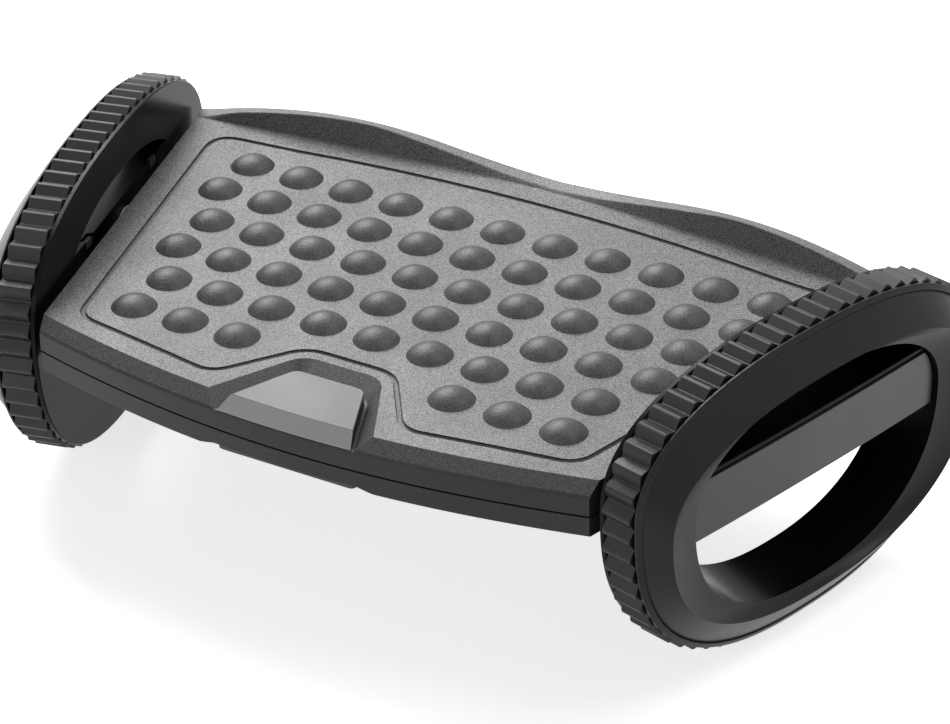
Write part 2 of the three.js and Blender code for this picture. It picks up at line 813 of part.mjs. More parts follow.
function wheelCover() {
  const lastSlope = ridgeTop - coverEdge;
  const skirtInner = inset(skirtEgg, skirtWall);
  const levels = [
    [wheelEgg, coverStart],
    [wheelEgg, coverStart + coverEdge],
    [inset(wheelEgg, bevelWidth), coverStart + coverEdge + bevelRise],
    [inset(wheelEgg, bevelWidth + creaseWidth), coverStart + coverEdge + bevelRise - creaseDepth],
    [inset(ridgeEgg, -coverEdge), lastSlope],
    [ridgeEgg, ridgeTop],
    [inset(ridgeEgg, coverEdge), lastSlope],
    [openingEgg, openingEdge],
    [inset(openingEgg, -rimWall), openingEdge],
    [ridgeEgg, ridgeTop - coverWall],
    [skirtInner, coverStart + skirtRise],
    [skirtInner, drumEnd - skirtDepth],
    [skirtEgg, drumEnd - skirtDepth],
    [skirtEgg, coverStart],
  ];
  return loft(levels.map(([shape, outboard]) => eggRing(shape, outboard)));
}

function treadOutline() {
  const valley = inset(wheelEgg, valleyDepth);
  const path = new THREE.CatmullRomCurve3(eggRing(valley, 0), true);
  path.arcLengthDivisions = treadSamples;
  const points = [];
  for (let rib = 0; rib < ribCount; rib += 1) {
    for (const [place, height] of treadRibShares) {
      const share = (((rib + place) / ribCount) + 1) % 1;
      const at = path.getPointAt(share);
      const along = path.getTangentAt(share);
      const proud = height * (valleyDepth + ribProud);
      points.push(new THREE.Vector2(at.y + along.z * proud, at.z - along.y * proud));
    }
  }
  return points;
}

function tread() {
  const shape = new THREE.Shape(treadOutline());
  const hole = eggTurns().map((turn) => new THREE.Vector2(...eggPoint(treadHole, turn)));
  shape.holes.push(new THREE.Path(hole));
  const geometry = new THREE.ExtrudeGeometry(shape, { depth: treadWidth, bevelEnabled: false });
  const lie = new THREE.Matrix4().makeBasis(new THREE.Vector3(0, 1, 0), new THREE.Vector3(0, 0, 1),
    new THREE.Vector3(1, 0, 0));
  return geometry.applyMatrix4(lie).translate(treadStart, 0, 0);
}

function crossbarCover() {
  const top = barTopOutboard - barWall - seatGap;
  const strip = barBody((along) => [
    [barFace(along) - barCoverWall, -barBottomOutboard],
    [barFace(along), -barBottomOutboard],
    [barFace(along), top],
    [barFace(along) - barCoverWall, top],
  ]);
  const fall = (barTopInboard - barTopOutboard) / (barFace(0) - wheelGap);
  const roof = (outboard) => barTopInboard - barWall - 2 * seatGap - (outboard - wheelGap) * fall;
  const root = barFace(armSpread) - barCoverWall / 2;
  const tip = wheelGap + seatGap;
  const hook = plateEnd - seatGap;
  const section = [
    [tip, roof(tip) - armWall],
    [root, roof(root) - armWall - windowMargin],
    [root, roof(root) - windowMargin],
    [hook, roof(hook)],
    [hook, roof(hook) + hookRise],
    [tip, roof(tip) + hookRise],
  ];
  const arms = [-armSpread, armSpread].map((along) => {
    const ends = [along - armWidth / 2, along + armWidth / 2];
    return toSolid(loft(ends.map((y) => section.map(([x, z]) => new THREE.Vector3(x, y, z))), ["z", "x"]));
  });
  return strip.intersect(tunnelHollow(barEndGap)).add(union(arms));
}

// Finishes
const deckFinish = { color: 0x4a4a4c, roughness: 0.75 };
const shellFinish = { color: 0x2a2a2c, roughness: 0.5 };
const frameFinish = { color: 0x262628, roughness: 0.35 };
const coverFinish = { color: 0x262628, roughness: 0.45 };
const rubberFinish = { color: 0x1e1e20, roughness: 0.8 };
const plateFinish = { color: 0x8c8c8e, roughness: 0.4 };
const stripFinish = { color: 0x6a6a6c, roughness: 0.4 };
const steelFinish = { color: 0x9a9a9c, roughness: 0.35, metalness: 0.9 };
const bearingFinish = { color: 0xd0d0cc, roughness: 0.6 };

const footrest = new THREE.Group();
const standHeight = partingDrop + wheelBottom + ribProud;
const deck = new THREE.Group();
deck.position.z = standHeight;
footrest.add(deck);

deck.add(
  mesh("deck_top_shell", toGeometry(topShell()), deckFinish),
  mesh("deck_bottom_shell", toGeometry(bottomShell()), shellFinish),
  mesh("badge_plate", toGeometry(badgePlate()), plateFinish),
  mesh("grip_pad", gripPad(), rubberFinish),
);

shellScrewPlaces().forEach(([x, y], i) => {
  const screw = mesh(`shell_screw_${i + 1}`, shellScrew(), steelFinish);
  screw.position.set(x, y, screwSeat - screwHeadHeight - seatGap);
  deck.add(screw);
});

for (const side of sides) {
  const end = new THREE.Group();
  end.applyMatrix4(sideMatrix(side));
  deck.add(end);

  ["front", "back"].forEach((place, i) => {
    const screw = mesh(`${side}_carrier_screw_${place}`, shellScrew(), steelFinish);
    const along = (i === 0) === (side === "right") ? -carrierScrewSpread : carrierScrewSpread;
    screw.position.set(-carrierScrewSetIn, along, partingDrop + screwSeat - screwHeadHeight - seatGap);
    end.add(screw);
  });

  const bushEnd = wheelGap + hubLength - seatGap;
  const screw = mesh(`${side}_retaining_screw`, retainingScrew(), steelFinish);
  screw.position.x = spigotEnd + seatGap + washerWall + seatGap + retainerHeadHeight;
  end.add(
    mesh(`${side}_side_carrier`, toGeometry(sideCarrier()), shellFinish),
    mesh(`${side}_spigot`, toGeometry(spigot()), steelFinish),
    mesh(`${side}_thrust_washer`,
      toGeometry(ring(thrustRadius, spigotRadius + runGap, seatGap, wheelGap - seatGap)), bearingFinish),
    mesh(`${side}_hub_bush`,
      toGeometry(ring(bushRadius, spigotRadius + runGap, wheelGap + seatGap, bushEnd)), bearingFinish),
    mesh(`${side}_wave_washer`, waveWasher(), steelFinish),
    mesh(`${side}_retaining_washer`,
      toGeometry(ring(washerRadius, retainerShankRadius + seatGap, spigotEnd + seatGap,
        spigotEnd + seatGap + washerWall)), steelFinish),
    screw,
    mesh(`${side}_wheel_frame`, toGeometry(wheelFrame()), frameFinish),
    mesh(`${side}_tread`, tread(), rubberFinish),
    mesh(`${side}_wheel_cover`, wheelCover(), coverFinish),
    mesh(`${side}_crossbar_cover`, toGeometry(crossbarCover()), stripFinish),
  );
}

export default footrest;
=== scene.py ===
import json
import math

import bmesh
import bpy
from mathutils import Matrix, Vector

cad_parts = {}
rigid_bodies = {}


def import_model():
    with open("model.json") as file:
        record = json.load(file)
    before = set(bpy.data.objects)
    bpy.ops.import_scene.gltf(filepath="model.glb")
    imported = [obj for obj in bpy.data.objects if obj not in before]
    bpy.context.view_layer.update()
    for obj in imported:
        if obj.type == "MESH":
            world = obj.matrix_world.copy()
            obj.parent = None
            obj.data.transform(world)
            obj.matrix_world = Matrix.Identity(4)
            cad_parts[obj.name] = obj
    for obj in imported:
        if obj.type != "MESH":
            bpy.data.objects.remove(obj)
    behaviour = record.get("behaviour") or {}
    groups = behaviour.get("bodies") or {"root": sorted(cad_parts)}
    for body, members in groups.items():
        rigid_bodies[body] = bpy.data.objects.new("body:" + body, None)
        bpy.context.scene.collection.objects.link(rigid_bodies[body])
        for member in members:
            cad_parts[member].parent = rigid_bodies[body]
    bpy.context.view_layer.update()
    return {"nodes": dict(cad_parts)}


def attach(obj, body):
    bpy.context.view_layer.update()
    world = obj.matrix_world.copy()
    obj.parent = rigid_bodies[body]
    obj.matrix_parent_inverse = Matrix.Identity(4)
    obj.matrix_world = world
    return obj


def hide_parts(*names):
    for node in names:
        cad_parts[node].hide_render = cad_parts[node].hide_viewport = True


# Tilting under desk footrest. Shapes are worked out in millimetres, with +Z up, and placed in metres.

for leftover in list(bpy.data.objects):
    bpy.data.objects.remove(leftover)

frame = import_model()

MM = 0.001
SIDES = ("right", "left")
SEAT_GAP = 0.3
OVERRUN = 2
WALL = 2.5

# Deck, seen from above
DECK_DEPTH = 263
HUB_SPAN = 364
HUB_SETBACK = 6.8
TOE_ANGLE = math.radians(14)
FRONT_BOW = 20
BACK_BOW = 18

# Deck, seen from the side
DECK_THICKNESS = 27.5
PARTING_DROP = 16.5
REVEAL_GAP = 0.8
TOP_WALL = 3
LIP_REACH = 6.6
BEVEL_DROP = 6.6
CRISP_CUT = 0.25
LIP_CUT = 1.2
SEAM_CUT = 0.35
FLOOR_CUT = 1
TONGUE_RISE = 1.6
TONGUE_WALL = 1.5

# Raised back edge: heights at even steps from the middle to the end
EDGE_BAND = 9
EDGE_LEAN = 1.5
EDGE_CUT = 1
EDGE_PEAK = 13.8
EDGE_RISE_SHARES = (0.09, 0.2, 0.47, 0.75, 0.98, 0.95, 0.77, 0.48, 0)
EDGE_FALL_SHARES = (0.17, 0.27, 0.46, 0.7, 0.83, 0.83, 0.68, 0.42, 0.08)

# Bumps, in rows from the back
BUMP_PITCH = 30
BUMP_DIAMETER = 23
BUMP_HEIGHT = 5.7
BUMP_ROW_COUNTS = (11, 11, 10, 10, 9, 9)
BACK_ROW_INSET = 49.7
BUMP_SIDES = 40
BUMP_RINGS = 8

# Groove round the bumps
GROOVE_WIDTH = 3
GROOVE_DEPTH = 1.3
GROOVE_SIDE_INSET = 16.5
GROOVE_BACK_INSET = 14.7
GROOVE_FRONT_INSET = 11.5
GROOVE_BADGE_INSET = 6.8
GROOVE_BACK_RADIUS = 15
GROOVE_FRONT_RADIUS = 10
GROOVE_CORNER_SHARE = 0.9
GROOVE_BADGE_SHARE = 0.35
GROOVE_TURN_SHARE = 0.7
GROOVE_NECK_SHARE = 0.34
GROOVE_FLARE_SHARE = 0.95
GROOVE_BACK_SHARES = (0.75, 0.6, 0.45, 0.3, 0.15)
GROOVE_FLOOR_SHARE = 0.62

# Badge pocket in the front edge and the plate in it
POCKET_BACK_HALF = 22.2
POCKET_FRONT_HALF = 46.5
POCKET_DEPTH = 48
POCKET_CORNER = 9
POCKET_WALL = 3
PLATE_BACK_HALF = 19.2
PLATE_FRONT_HALF = 34.9
PLATE_DEPTH = 36.5
PLATE_CORNER = 4
PLATE_DROP = 0.8
PLATE_CREASE = 1.9
PLATE_NOTCH = 0.6
PLATE_CUT = 0.3
PLATE_WALL = 2.7
PLATE_END_GAP = 1.6

# Screws from below, in pillars
SCREW_HEAD_RADIUS = 3.5
SCREW_HEAD_HEIGHT = 2.2
SCREW_SHANK_RADIUS = 1.8
SCREW_LENGTH = 13
HEAD_CLEARANCE = 0.5
PILLAR_WALL = 2.5
PILLAR_HEIGHT = 5.2
BOSS_RADIUS = 4.6
BOSS_INSET = 14
FRONT_SCREW_SHARES = (0.5, 0.82)
BACK_SCREW_SHARES = (0.35, 0.8)
CARRIER_SCREW_SET_IN = 24
CARRIER_SCREW_SPREAD = 22
CROSS_REACH = 2
CROSS_WIDTH = 0.8
CROSS_DEPTH = 1.3
THREAD_PITCH = 1.2
THREAD_DEPTH = 0.35
HEAD_DOME_SHARE = 0.7
SCREW_SIDES = 24

# Stiffening ribs under the top shell
RIB_WALL = 2
RIB_DEPTH = 18
RIB_INSET = 30
RIB_SHARES = (0.2, 0.62)

# Grip pad in a shallow recess under the front
PAD_HALF = 38
PAD_DEPTH = 26
PAD_WALL = 2.4
PAD_INSET = 1.8
PAD_CUT = 0.4
PAD_CORNER = 3
PAD_RECESS = 2.4
PAD_RECESS_MARGIN = 1.5
PAD_RECESS_SLOPE = 10

# Axle of each wheel
CARRIER_REACH = 29
SPIGOT_RADIUS = 6
BUSH_RADIUS = 8.5
BOSS_WALL = 3
HUB_LENGTH = 15

# Wheel outline at the cover's edge, seen from outboard with the axle as origin
WHEEL_HALF = 119.2
WHEEL_TOP = 57.5
WHEEL_BOTTOM = 98.2
WHEEL_WIDEST_SHARE = 0.644
WHEEL_POWER = 2.41

# Ridge, funnel and tunnel, as insets one from the next
RIDGE_END_INSET = 11.1
RIDGE_TOP_INSET = 18
RIDGE_BOTTOM_INSET = 19
RIDGE_WIDEST_SHARE = 0.623
RIDGE_POWER = 2.34
FUNNEL_END_INSET = 21.2
FUNNEL_TOP_INSET = 4.1
FUNNEL_BOTTOM_INSET = 3.2
OPENING_WIDEST_SHARE = 0.614
OPENING_POWER = 2.28
TUNNEL_END_TAPER = 6.5
TUNNEL_BOTTOM_TAPER = 6.9
TUNNEL_WIDEST_SHARE = 0.582

# Wheel, across its width
WHEEL_GAP = 3.45
RIM_FLANGE = 3
FLANGE_CUT = 0.5
TREAD_WIDTH = 16.9
TREAD_GAP = 1.5
COVER_EDGE = 0.9
BEVEL_WIDTH = 2.6
BEVEL_RISE = 1.4
BEVEL_TURN_SHARE = 0.5
BEVEL_TURN_RISE_SHARE = 0.62
CREASE_WIDTH = 0.6
CREASE_DEPTH = 0.7
SLOPE_CROWN = 0.35
RIDGE_RISE = 13.6
RIDGE_SOFT = 0.5
RIDGE_EASE = 0.15
FUNNEL_DROP = 5.5
FUNNEL_SAG = 0.5
RIM_WALL = 2
COVER_WALL = 2.8
SKIRT_WALL = 1.6
SKIRT_DEPTH = 4
SKIRT_RISE = 3

# Tread ribs
RIB_COUNT = 62
RIB_PROUD = 2.1
VALLEY_DEPTH = 1.2
TREAD_BASE = 2.5
TREAD_FOOT_SHARE = 0.47
TREAD_LAND_SHARE = 0.08
TREAD_CUT = 0.5
TREAD_EASE = 0.4
TREAD_END_SHARE = 0.9
TREAD_END_LEVELS = ((0, TREAD_END_SHARE), (TREAD_EASE, 1), (TREAD_WIDTH - TREAD_EASE, 1),
                    (TREAD_WIDTH, TREAD_END_SHARE))

# Crossbar channel and its cover
BAR_TOP_INBOARD = 21.2
BAR_TOP_OUTBOARD = 14.9
BAR_BOTTOM_INBOARD = 19.9
BAR_BOTTOM_OUTBOARD = 18.5
BAR_WALL = 2.6
BAR_RECESS = 2.75
BAR_BOW = 1.3
BAR_STEP = 1.2
BAR_CUT = 0.3
BAR_COVER_WALL = 2.5
BAR_COVER_CUT = 0.35
BAR_END_GAP = 0.8
ARM_SPREAD = 45
ARM_WIDTH = 8
ARM_WALL = 2
HOOK_RISE = 2
WINDOW_MARGIN = 0.8

# Facets
EGG_SIDES = 192
DECK_STATIONS = 96
ROUND_SIDES = 40
BAR_STATIONS = 48
CORNER_STEPS = 3
HEAD_STEPS = 6
SLOPE_STEPS = 12
FUNNEL_STEPS = 8
LEG_SHARE = 0.45
ARC_STEPS = 10
TREAD_SAMPLES = 4000
SMOOTH_ANGLE = math.radians(32)
MERGE_REACH = 1e-4

STAND_HEIGHT = PARTING_DROP + WHEEL_BOTTOM + RIB_PROUD
FRONT = -DECK_DEPTH / 2 + LIP_REACH
BACK = DECK_DEPTH / 2 - EDGE_BAND
PLATE_END = WHEEL_GAP + RIM_FLANGE
TREAD_START = PLATE_END + SEAT_GAP
TREAD_END = TREAD_START + TREAD_WIDTH
COVER_START = TREAD_END + TREAD_GAP
DRUM_END = COVER_START - SEAT_GAP
RIDGE_LINE = COVER_START + RIDGE_RISE
OPENING_EDGE = RIDGE_LINE - FUNNEL_DROP
TUNNEL_END = OPENING_EDGE - SEAT_GAP


# Solids

def solid(points, faces):
    """A closed mesh with its faces turned outward."""
    mesh = bpy.data.meshes.new("solid")
    mesh.from_pydata(points, [], faces)
    made = bmesh.new()
    made.from_mesh(mesh)
    bmesh.ops.remove_doubles(made, verts=made.verts, dist=MERGE_REACH)
    bmesh.ops.dissolve_degenerate(made, edges=made.edges, dist=MERGE_REACH)
    bmesh.ops.recalc_face_normals(made, faces=made.faces)
    if made.calc_volume(signed=True) < 0:
        bmesh.ops.reverse_faces(made, faces=made.faces)
    made.to_mesh(mesh)
    made.free()
    piece = bpy.data.objects.new("solid", mesh)
    bpy.context.scene.collection.objects.link(piece)
    return piece


def loft(rings, joined=False):
    """Skin over rings of points, with both ends closed or the last ring joined to the first."""
    count = len(rings[0])
    faces = []
    for row in range(len(rings) if joined else len(rings) - 1):
        above = (row + 1) % len(rings)
        for i in range(count):
            j = (i + 1) % count
            faces.append((row * count + i, row * count + j, above * count + j, above * count + i))
    if not joined:
        last = (len(rings) - 1) * count
        faces.append(tuple(range(count)))
        faces.append(tuple(range(last + count - 1, last - 1, -1)))
    return solid([point for ring in rings for point in ring], faces)


def carve(target, tool, operation="DIFFERENCE"):
    modifier = target.modifiers.new("carve", "BOOLEAN")
    modifier.solver = "MANIFOLD"
    modifier.operation = operation
    modifier.object = tool
    evaluated = target.evaluated_get(bpy.context.evaluated_depsgraph_get())
    mesh = bpy.data.meshes.new_from_object(evaluated)
    target.modifiers.clear()
    target.data = mesh
    bpy.data.objects.remove(tool)
    return target


def cut(target, *tools):
    for tool in tools:
        carve(target, tool)
    return target


def add(target, *tools):
    for tool in tools:
        carve(target, tool, "UNION")
    return target


def meet(target, tool):
    return carve(target, tool, "INTERSECT")


def gather(pieces):
    """Pieces that don't touch each other, as one object."""
    made = bmesh.new()
    for piece in pieces:
        piece.data.transform(piece.matrix_world)
        made.from_mesh(piece.data)
        bpy.data.objects.remove(piece)
    mesh = bpy.data.meshes.new("solid")
    made.to_mesh(mesh)
    made.free()
    together = bpy.data.objects.new("solid", mesh)
    bpy.context.scene.collection.objects.link(together)
    return together


def moved(piece, matrix):
    piece.data.transform(matrix)
    return piece


def lathe(profile, sides=ROUND_SIDES):
    """A turned solid round Z from points of radius and height."""
    rings = []
    for radius, height in profile:
        turns = [2 * math.pi * i / sides for i in range(sides)]
        rings.append([(radius * math.cos(turn), radius * math.sin(turn), height) for turn in turns])
    return loft(rings)


def block(low, high):
    plan = [(low[0], low[1]), (high[0], low[1]), (high[0], high[1]), (low[0], high[1])]
    return loft([[(x, y, z) for x, y in plan] for z in (low[2], high[2])])


def post(x, y, radius, low, high):
    return moved(lathe([(radius, low), (radius, high)]), Matrix.Translation((x, y, 0)))


def axle_bar(radius, inner, outer):
    return moved(lathe([(radius, inner), (radius, outer)]), Matrix.Rotation(math.pi / 2, 4, "Y"))


def softened(corners, steps=CORNER_STEPS):
    """Corner points of a closed line, each with the length that a short curve cuts from its legs."""
    points = []
    for i, (x, y, wanted) in enumerate(corners):
        corner = Vector((x, y))
        legs = [Vector(corners[near][:2]) - corner for near in (i - 1, (i + 1) % len(corners))]
        if not wanted:
            points.append(corner)
            continue
        reach = min(wanted, LEG_SHARE * min(leg.length for leg in legs))
        before, after = (corner + leg.normalized() * reach for leg in legs)
        for step in range(steps + 1):
            share = step / steps
            points.append(before.lerp(corner, share).lerp(corner.lerp(after, share), share))
    return points


# Places on the deck; its frame has the top surface at zero height

def front_edge(share):
    return FRONT + FRONT_BOW * share * share


def back_crease(share):
    return BACK - BACK_BOW * share * share


def half_width(y, inset):
    return HUB_SPAN / 2 + (y - HUB_SETBACK) * math.tan(TOE_ANGLE) - inset / math.cos(TOE_ANGLE)


def along_edge(shares, share):
    """Height of the raised back edge on a smooth curve through its steps."""
    place = abs(share) * (len(shares) - 1)
    step = min(int(place), len(shares) - 2)
    t = place - step
    before, start, end, after = (shares[min(max(step + k, 0), len(shares) - 1)] for k in (-1, 0, 1, 2))
    leave, arrive = (end - before) / 2, (after - start) / 2
    height = start + t * (leave + t * (3 * (end - start) - 2 * leave - arrive
                                       + t * (2 * (start - end) + leave + arrive)))
    return EDGE_PEAK * max(0, height)


def side_matrix(side):
    """Wheel's frame to deck's frame: outboard is +X, the axle is the origin."""
    turn = -TOE_ANGLE if side == "right" else math.pi + TOE_ANGLE
    place = HUB_SPAN / 2 if side == "right" else -HUB_SPAN / 2
    return Matrix.Translation((place, HUB_SETBACK, -PARTING_DROP)) @ Matrix.Rotation(turn, 4, "Z")


def deck_body(section, inset):
    """A fore-and-aft section swept from one toed-in side of the deck to the other."""
    rings = []
    for i in range(DECK_STATIONS + 1):
        share = 2 * i / DECK_STATIONS - 1
        rings.append([(share * half_width(y, inset), y, z) for y, z in softened(section(share))])
    return loft(rings)


def top_section(share):
    edge = front_edge(share)
    crease = back_crease(share)
    rise = along_edge(EDGE_RISE_SHARES, share)
    fall = along_edge(EDGE_FALL_SHARES, share)
    return [
        (edge - LIP_REACH, -PARTING_DROP, SEAM_CUT),
        (crease + EDGE_BAND, -PARTING_DROP, SEAM_CUT),
        (crease + EDGE_BAND, fall, EDGE_CUT),
        (crease + EDGE_LEAN, rise, EDGE_CUT),
        (crease, 0, CRISP_CUT),
        (edge, 0, CRISP_CUT),
        (edge - LIP_REACH, -BEVEL_DROP, LIP_CUT),
    ]


def top_cavity(share):
    edge = front_edge(share)
    crease = back_crease(share)
    rise = along_edge(EDGE_RISE_SHARES, share)
    fall = along_edge(EDGE_FALL_SHARES, share)
    return [
        (edge - LIP_REACH + WALL, -PARTING_DROP - OVERRUN, 0),
        (crease + EDGE_BAND - WALL, -PARTING_DROP - OVERRUN, 0),
        (crease + EDGE_BAND - WALL, fall - TOP_WALL - EDGE_CUT, 0),
        (crease + EDGE_LEAN + WALL, max(rise, fall) - TOP_WALL, 0),
        (crease + WALL, -TOP_WALL, 0),
        (edge, -TOP_WALL, 0),
        (edge - LIP_REACH + WALL, -BEVEL_DROP - WALL, 0),
    ]


def pocket_outline(back_half, front_half, depth, corner):
    """A pocket outline, from its eased back corners to past the front of the lip."""
    reach = LIP_REACH + OVERRUN
    wide = back_half + (front_half - back_half) * (depth + reach) / depth
    ends = [(back_half, FRONT + depth, corner), (-back_half, FRONT + depth, corner)]
    return softened([*ends, (-wide, FRONT - reach, 0), (wide, FRONT - reach, 0)], ARC_STEPS)


def plate_outline(beside, behind):
    halves = (PLATE_BACK_HALF + beside, PLATE_FRONT_HALF + beside)
    return pocket_outline(*halves, PLATE_DEPTH + behind, PLATE_CORNER)


def stack(levels):
    return loft([[(x, y, z) for x, y in outline] for outline, z in levels])


def pocket_cutter():
    """A trench with sloped walls round the plate, as deep as the front bevel."""
    mouth = pocket_outline(POCKET_BACK_HALF, POCKET_FRONT_HALF, POCKET_DEPTH, POCKET_CORNER)
    foot = plate_outline(PLATE_END_GAP, SEAT_GAP)
    above = [rim + (rim - low) for rim, low in zip(mouth, foot)]
    return stack([(foot, -BEVEL_DROP), (mouth, 0), (above, BEVEL_DROP)])


def pocket_body():
    low = plate_outline(PLATE_END_GAP + POCKET_WALL, POCKET_WALL)
    high = pocket_outline(POCKET_BACK_HALF + POCKET_WALL, POCKET_FRONT_HALF + POCKET_WALL,
                          POCKET_DEPTH + POCKET_WALL, POCKET_CORNER)
    tray = stack([(low, -BEVEL_DROP - POCKET_WALL), (high, -TOP_WALL / 2)])
    return meet(tray, deck_body(top_section, 0))


def groove_corners():
    back_end = back_crease(GROOVE_CORNER_SHARE) - GROOVE_BACK_INSET
    front_end = front_edge(GROOVE_CORNER_SHARE) + GROOVE_FRONT_INSET
    pocket_back = FRONT + POCKET_DEPTH + GROOVE_BADGE_INSET
    badge_front = front_edge(GROOVE_BADGE_SHARE) + GROOVE_FRONT_INSET
    back_x = half_width(back_end, GROOVE_SIDE_INSET)
    front_x = half_width(front_end, GROOVE_SIDE_INSET)
    right = [
        (POCKET_BACK_HALF + GROOVE_BADGE_INSET * GROOVE_NECK_SHARE, pocket_back, GROOVE_FRONT_RADIUS),
        (POCKET_FRONT_HALF + GROOVE_BADGE_INSET * GROOVE_FLARE_SHARE, badge_front, GROOVE_FRONT_RADIUS),
        (GROOVE_TURN_SHARE * front_x, front_edge(GROOVE_TURN_SHARE) + GROOVE_FRONT_INSET, 0),
        (front_x, front_end, GROOVE_FRONT_RADIUS),
        (back_x, back_end, GROOVE_BACK_RADIUS),
    ]
    right += [(share * back_x, back_crease(share) - GROOVE_BACK_INSET, 0) for share in GROOVE_BACK_SHARES]
    left = [(-x, y, radius) for x, y, radius in reversed(right)]
    return right + [(0, BACK - GROOVE_BACK_INSET, 0)] + left


def groove():
    """A channel with a rounded floor along the closed line."""
    half = GROOVE_WIDTH / 2
    section = [(-half, OVERRUN), (-half, -GROOVE_DEPTH * GROOVE_FLOOR_SHARE),
               (-half * GROOVE_FLOOR_SHARE, -GROOVE_DEPTH), (half * GROOVE_FLOOR_SHARE, -GROOVE_DEPTH),
               (half, -GROOVE_DEPTH * GROOVE_FLOOR_SHARE), (half, OVERRUN)]
    line = softened(groove_corners(), ARC_STEPS)
    rings = []
    for i, point in enumerate(line):
        along = (line[(i + 1) % len(line)] - line[i - 1]).normalized()
        out = Vector((along.y, -along.x))
        rings.append([(point.x + out.x * aside, point.y + out.y * aside, z) for aside, z in section])
    return loft(rings, joined=True)


def bump_places():
    places = []
    clear = POCKET_BACK_HALF + BUMP_DIAMETER
    for row, count in enumerate(BUMP_ROW_COUNTS):
        y = BACK - BACK_ROW_INSET - row * BUMP_PITCH
        in_front_row = y < FRONT + POCKET_DEPTH + GROOVE_BADGE_INSET
        for i in range(count):
            x = (i - (count - 1) / 2) * BUMP_PITCH
            if not in_front_row or abs(x) > clear:
                places.append((x, y))
    return places


def bump():
    """A domed cap on a short root that sinks into the wall of the deck."""
    radius = BUMP_DIAMETER / 2
    sphere = (radius ** 2 + BUMP_HEIGHT ** 2) / (2 * BUMP_HEIGHT)
    profile = [(radius, -TOP_WALL / 2)]
    for ring in range(BUMP_RINGS + 1):
        r = radius * (1 - ring / BUMP_RINGS)
        profile.append((r, math.sqrt(sphere ** 2 - r ** 2) - sphere + BUMP_HEIGHT))
    return lathe(profile, BUMP_SIDES)


def shell_screw_places():
    places = []
    for shares, line, inset in ((FRONT_SCREW_SHARES, front_edge, BOSS_INSET),
                                (BACK_SCREW_SHARES, back_crease, -BOSS_INSET)):
        for share in shares:
            y = line(share) + inset
            places += [(-share * half_width(y, 0), y), (share * half_width(y, 0), y)]
    return places


def carrier_screw_places(side):
    places = []
    for along in (-CARRIER_SCREW_SPREAD, CARRIER_SCREW_SPREAD):
        places.append(tuple((side_matrix(side) @ Vector((-CARRIER_SCREW_SET_IN, along, 0)))[:2]))
    return places


def spigot_hole(side):
    reach = CARRIER_REACH / 2
    return moved(axle_bar(SPIGOT_RADIUS + SEAT_GAP * 2, -reach, reach), side_matrix(side))


PILLAR_TOP = -DECK_THICKNESS + PILLAR_HEIGHT
SCREW_SEAT = -DECK_THICKNESS + SCREW_HEAD_HEIGHT + HEAD_CLEARANCE
PILOT_RADIUS = SCREW_SHANK_RADIUS + SEAT_GAP


def deck_top():
    into = -TOP_WALL / 2
    shell = cut(deck_body(top_section, 0), deck_body(top_cavity, WALL))
    for share in RIB_SHARES:
        for x in (-share * HUB_SPAN / 2, share * HUB_SPAN / 2):
            low = (x - RIB_WALL / 2, FRONT + RIB_INSET, -RIB_DEPTH)
            add(shell, block(low, (x + RIB_WALL / 2, BACK - RIB_INSET, into)))
    places = shell_screw_places()
    add(shell, gather([post(x, y, BOSS_RADIUS, PILLAR_TOP + SEAT_GAP, into) for x, y in places]))
    add(shell, pocket_body())
    high = SCREW_SEAT + SCREW_LENGTH + OVERRUN
    pilots = gather([post(x, y, PILOT_RADIUS, -DECK_THICKNESS, high) for x, y in places])
    cut(shell, pilots, pocket_cutter(), groove(), *(spigot_hole(side) for side in SIDES))
    return add(shell, gather([moved(bump(), Matrix.Translation((x, y, 0))) for x, y in bump_places()]))


def low_section(inset, low, high, foot, head):
    def section(share):
        front = front_edge(share) - LIP_REACH + inset
        back = back_crease(share) + EDGE_BAND - inset
        return [(front, low, foot), (back, low, foot), (back, high, head), (front, high, head)]
    return section


PAD_FRONT = FRONT - LIP_REACH + PAD_INSET
PAD_ROOF = -DECK_THICKNESS + PAD_RECESS


def pad_recess():
    shallow = PAD_HALF + PAD_RECESS_MARGIN
    deep = shallow + PAD_RECESS_SLOPE * (1 + OVERRUN / PAD_RECESS)
    front = FRONT - LIP_REACH - OVERRUN
    back = PAD_FRONT + PAD_DEPTH + PAD_RECESS_MARGIN
    levels = []
    for half, z in ((deep, -DECK_THICKNESS - OVERRUN), (shallow, PAD_ROOF)):
        levels.append(([(-half, front), (half, front), (half, back), (-half, back)], z))
    return stack(levels)


def pad_backing():
    """Extra floor above the recess."""
    half = PAD_HALF + PAD_RECESS_MARGIN + PAD_RECESS_SLOPE
    back = PAD_FRONT + PAD_DEPTH + PAD_RECESS_MARGIN + WALL
    return block((-half, FRONT - LIP_REACH, -DECK_THICKNESS + WALL / 2), (half, back, PAD_ROOF + WALL))


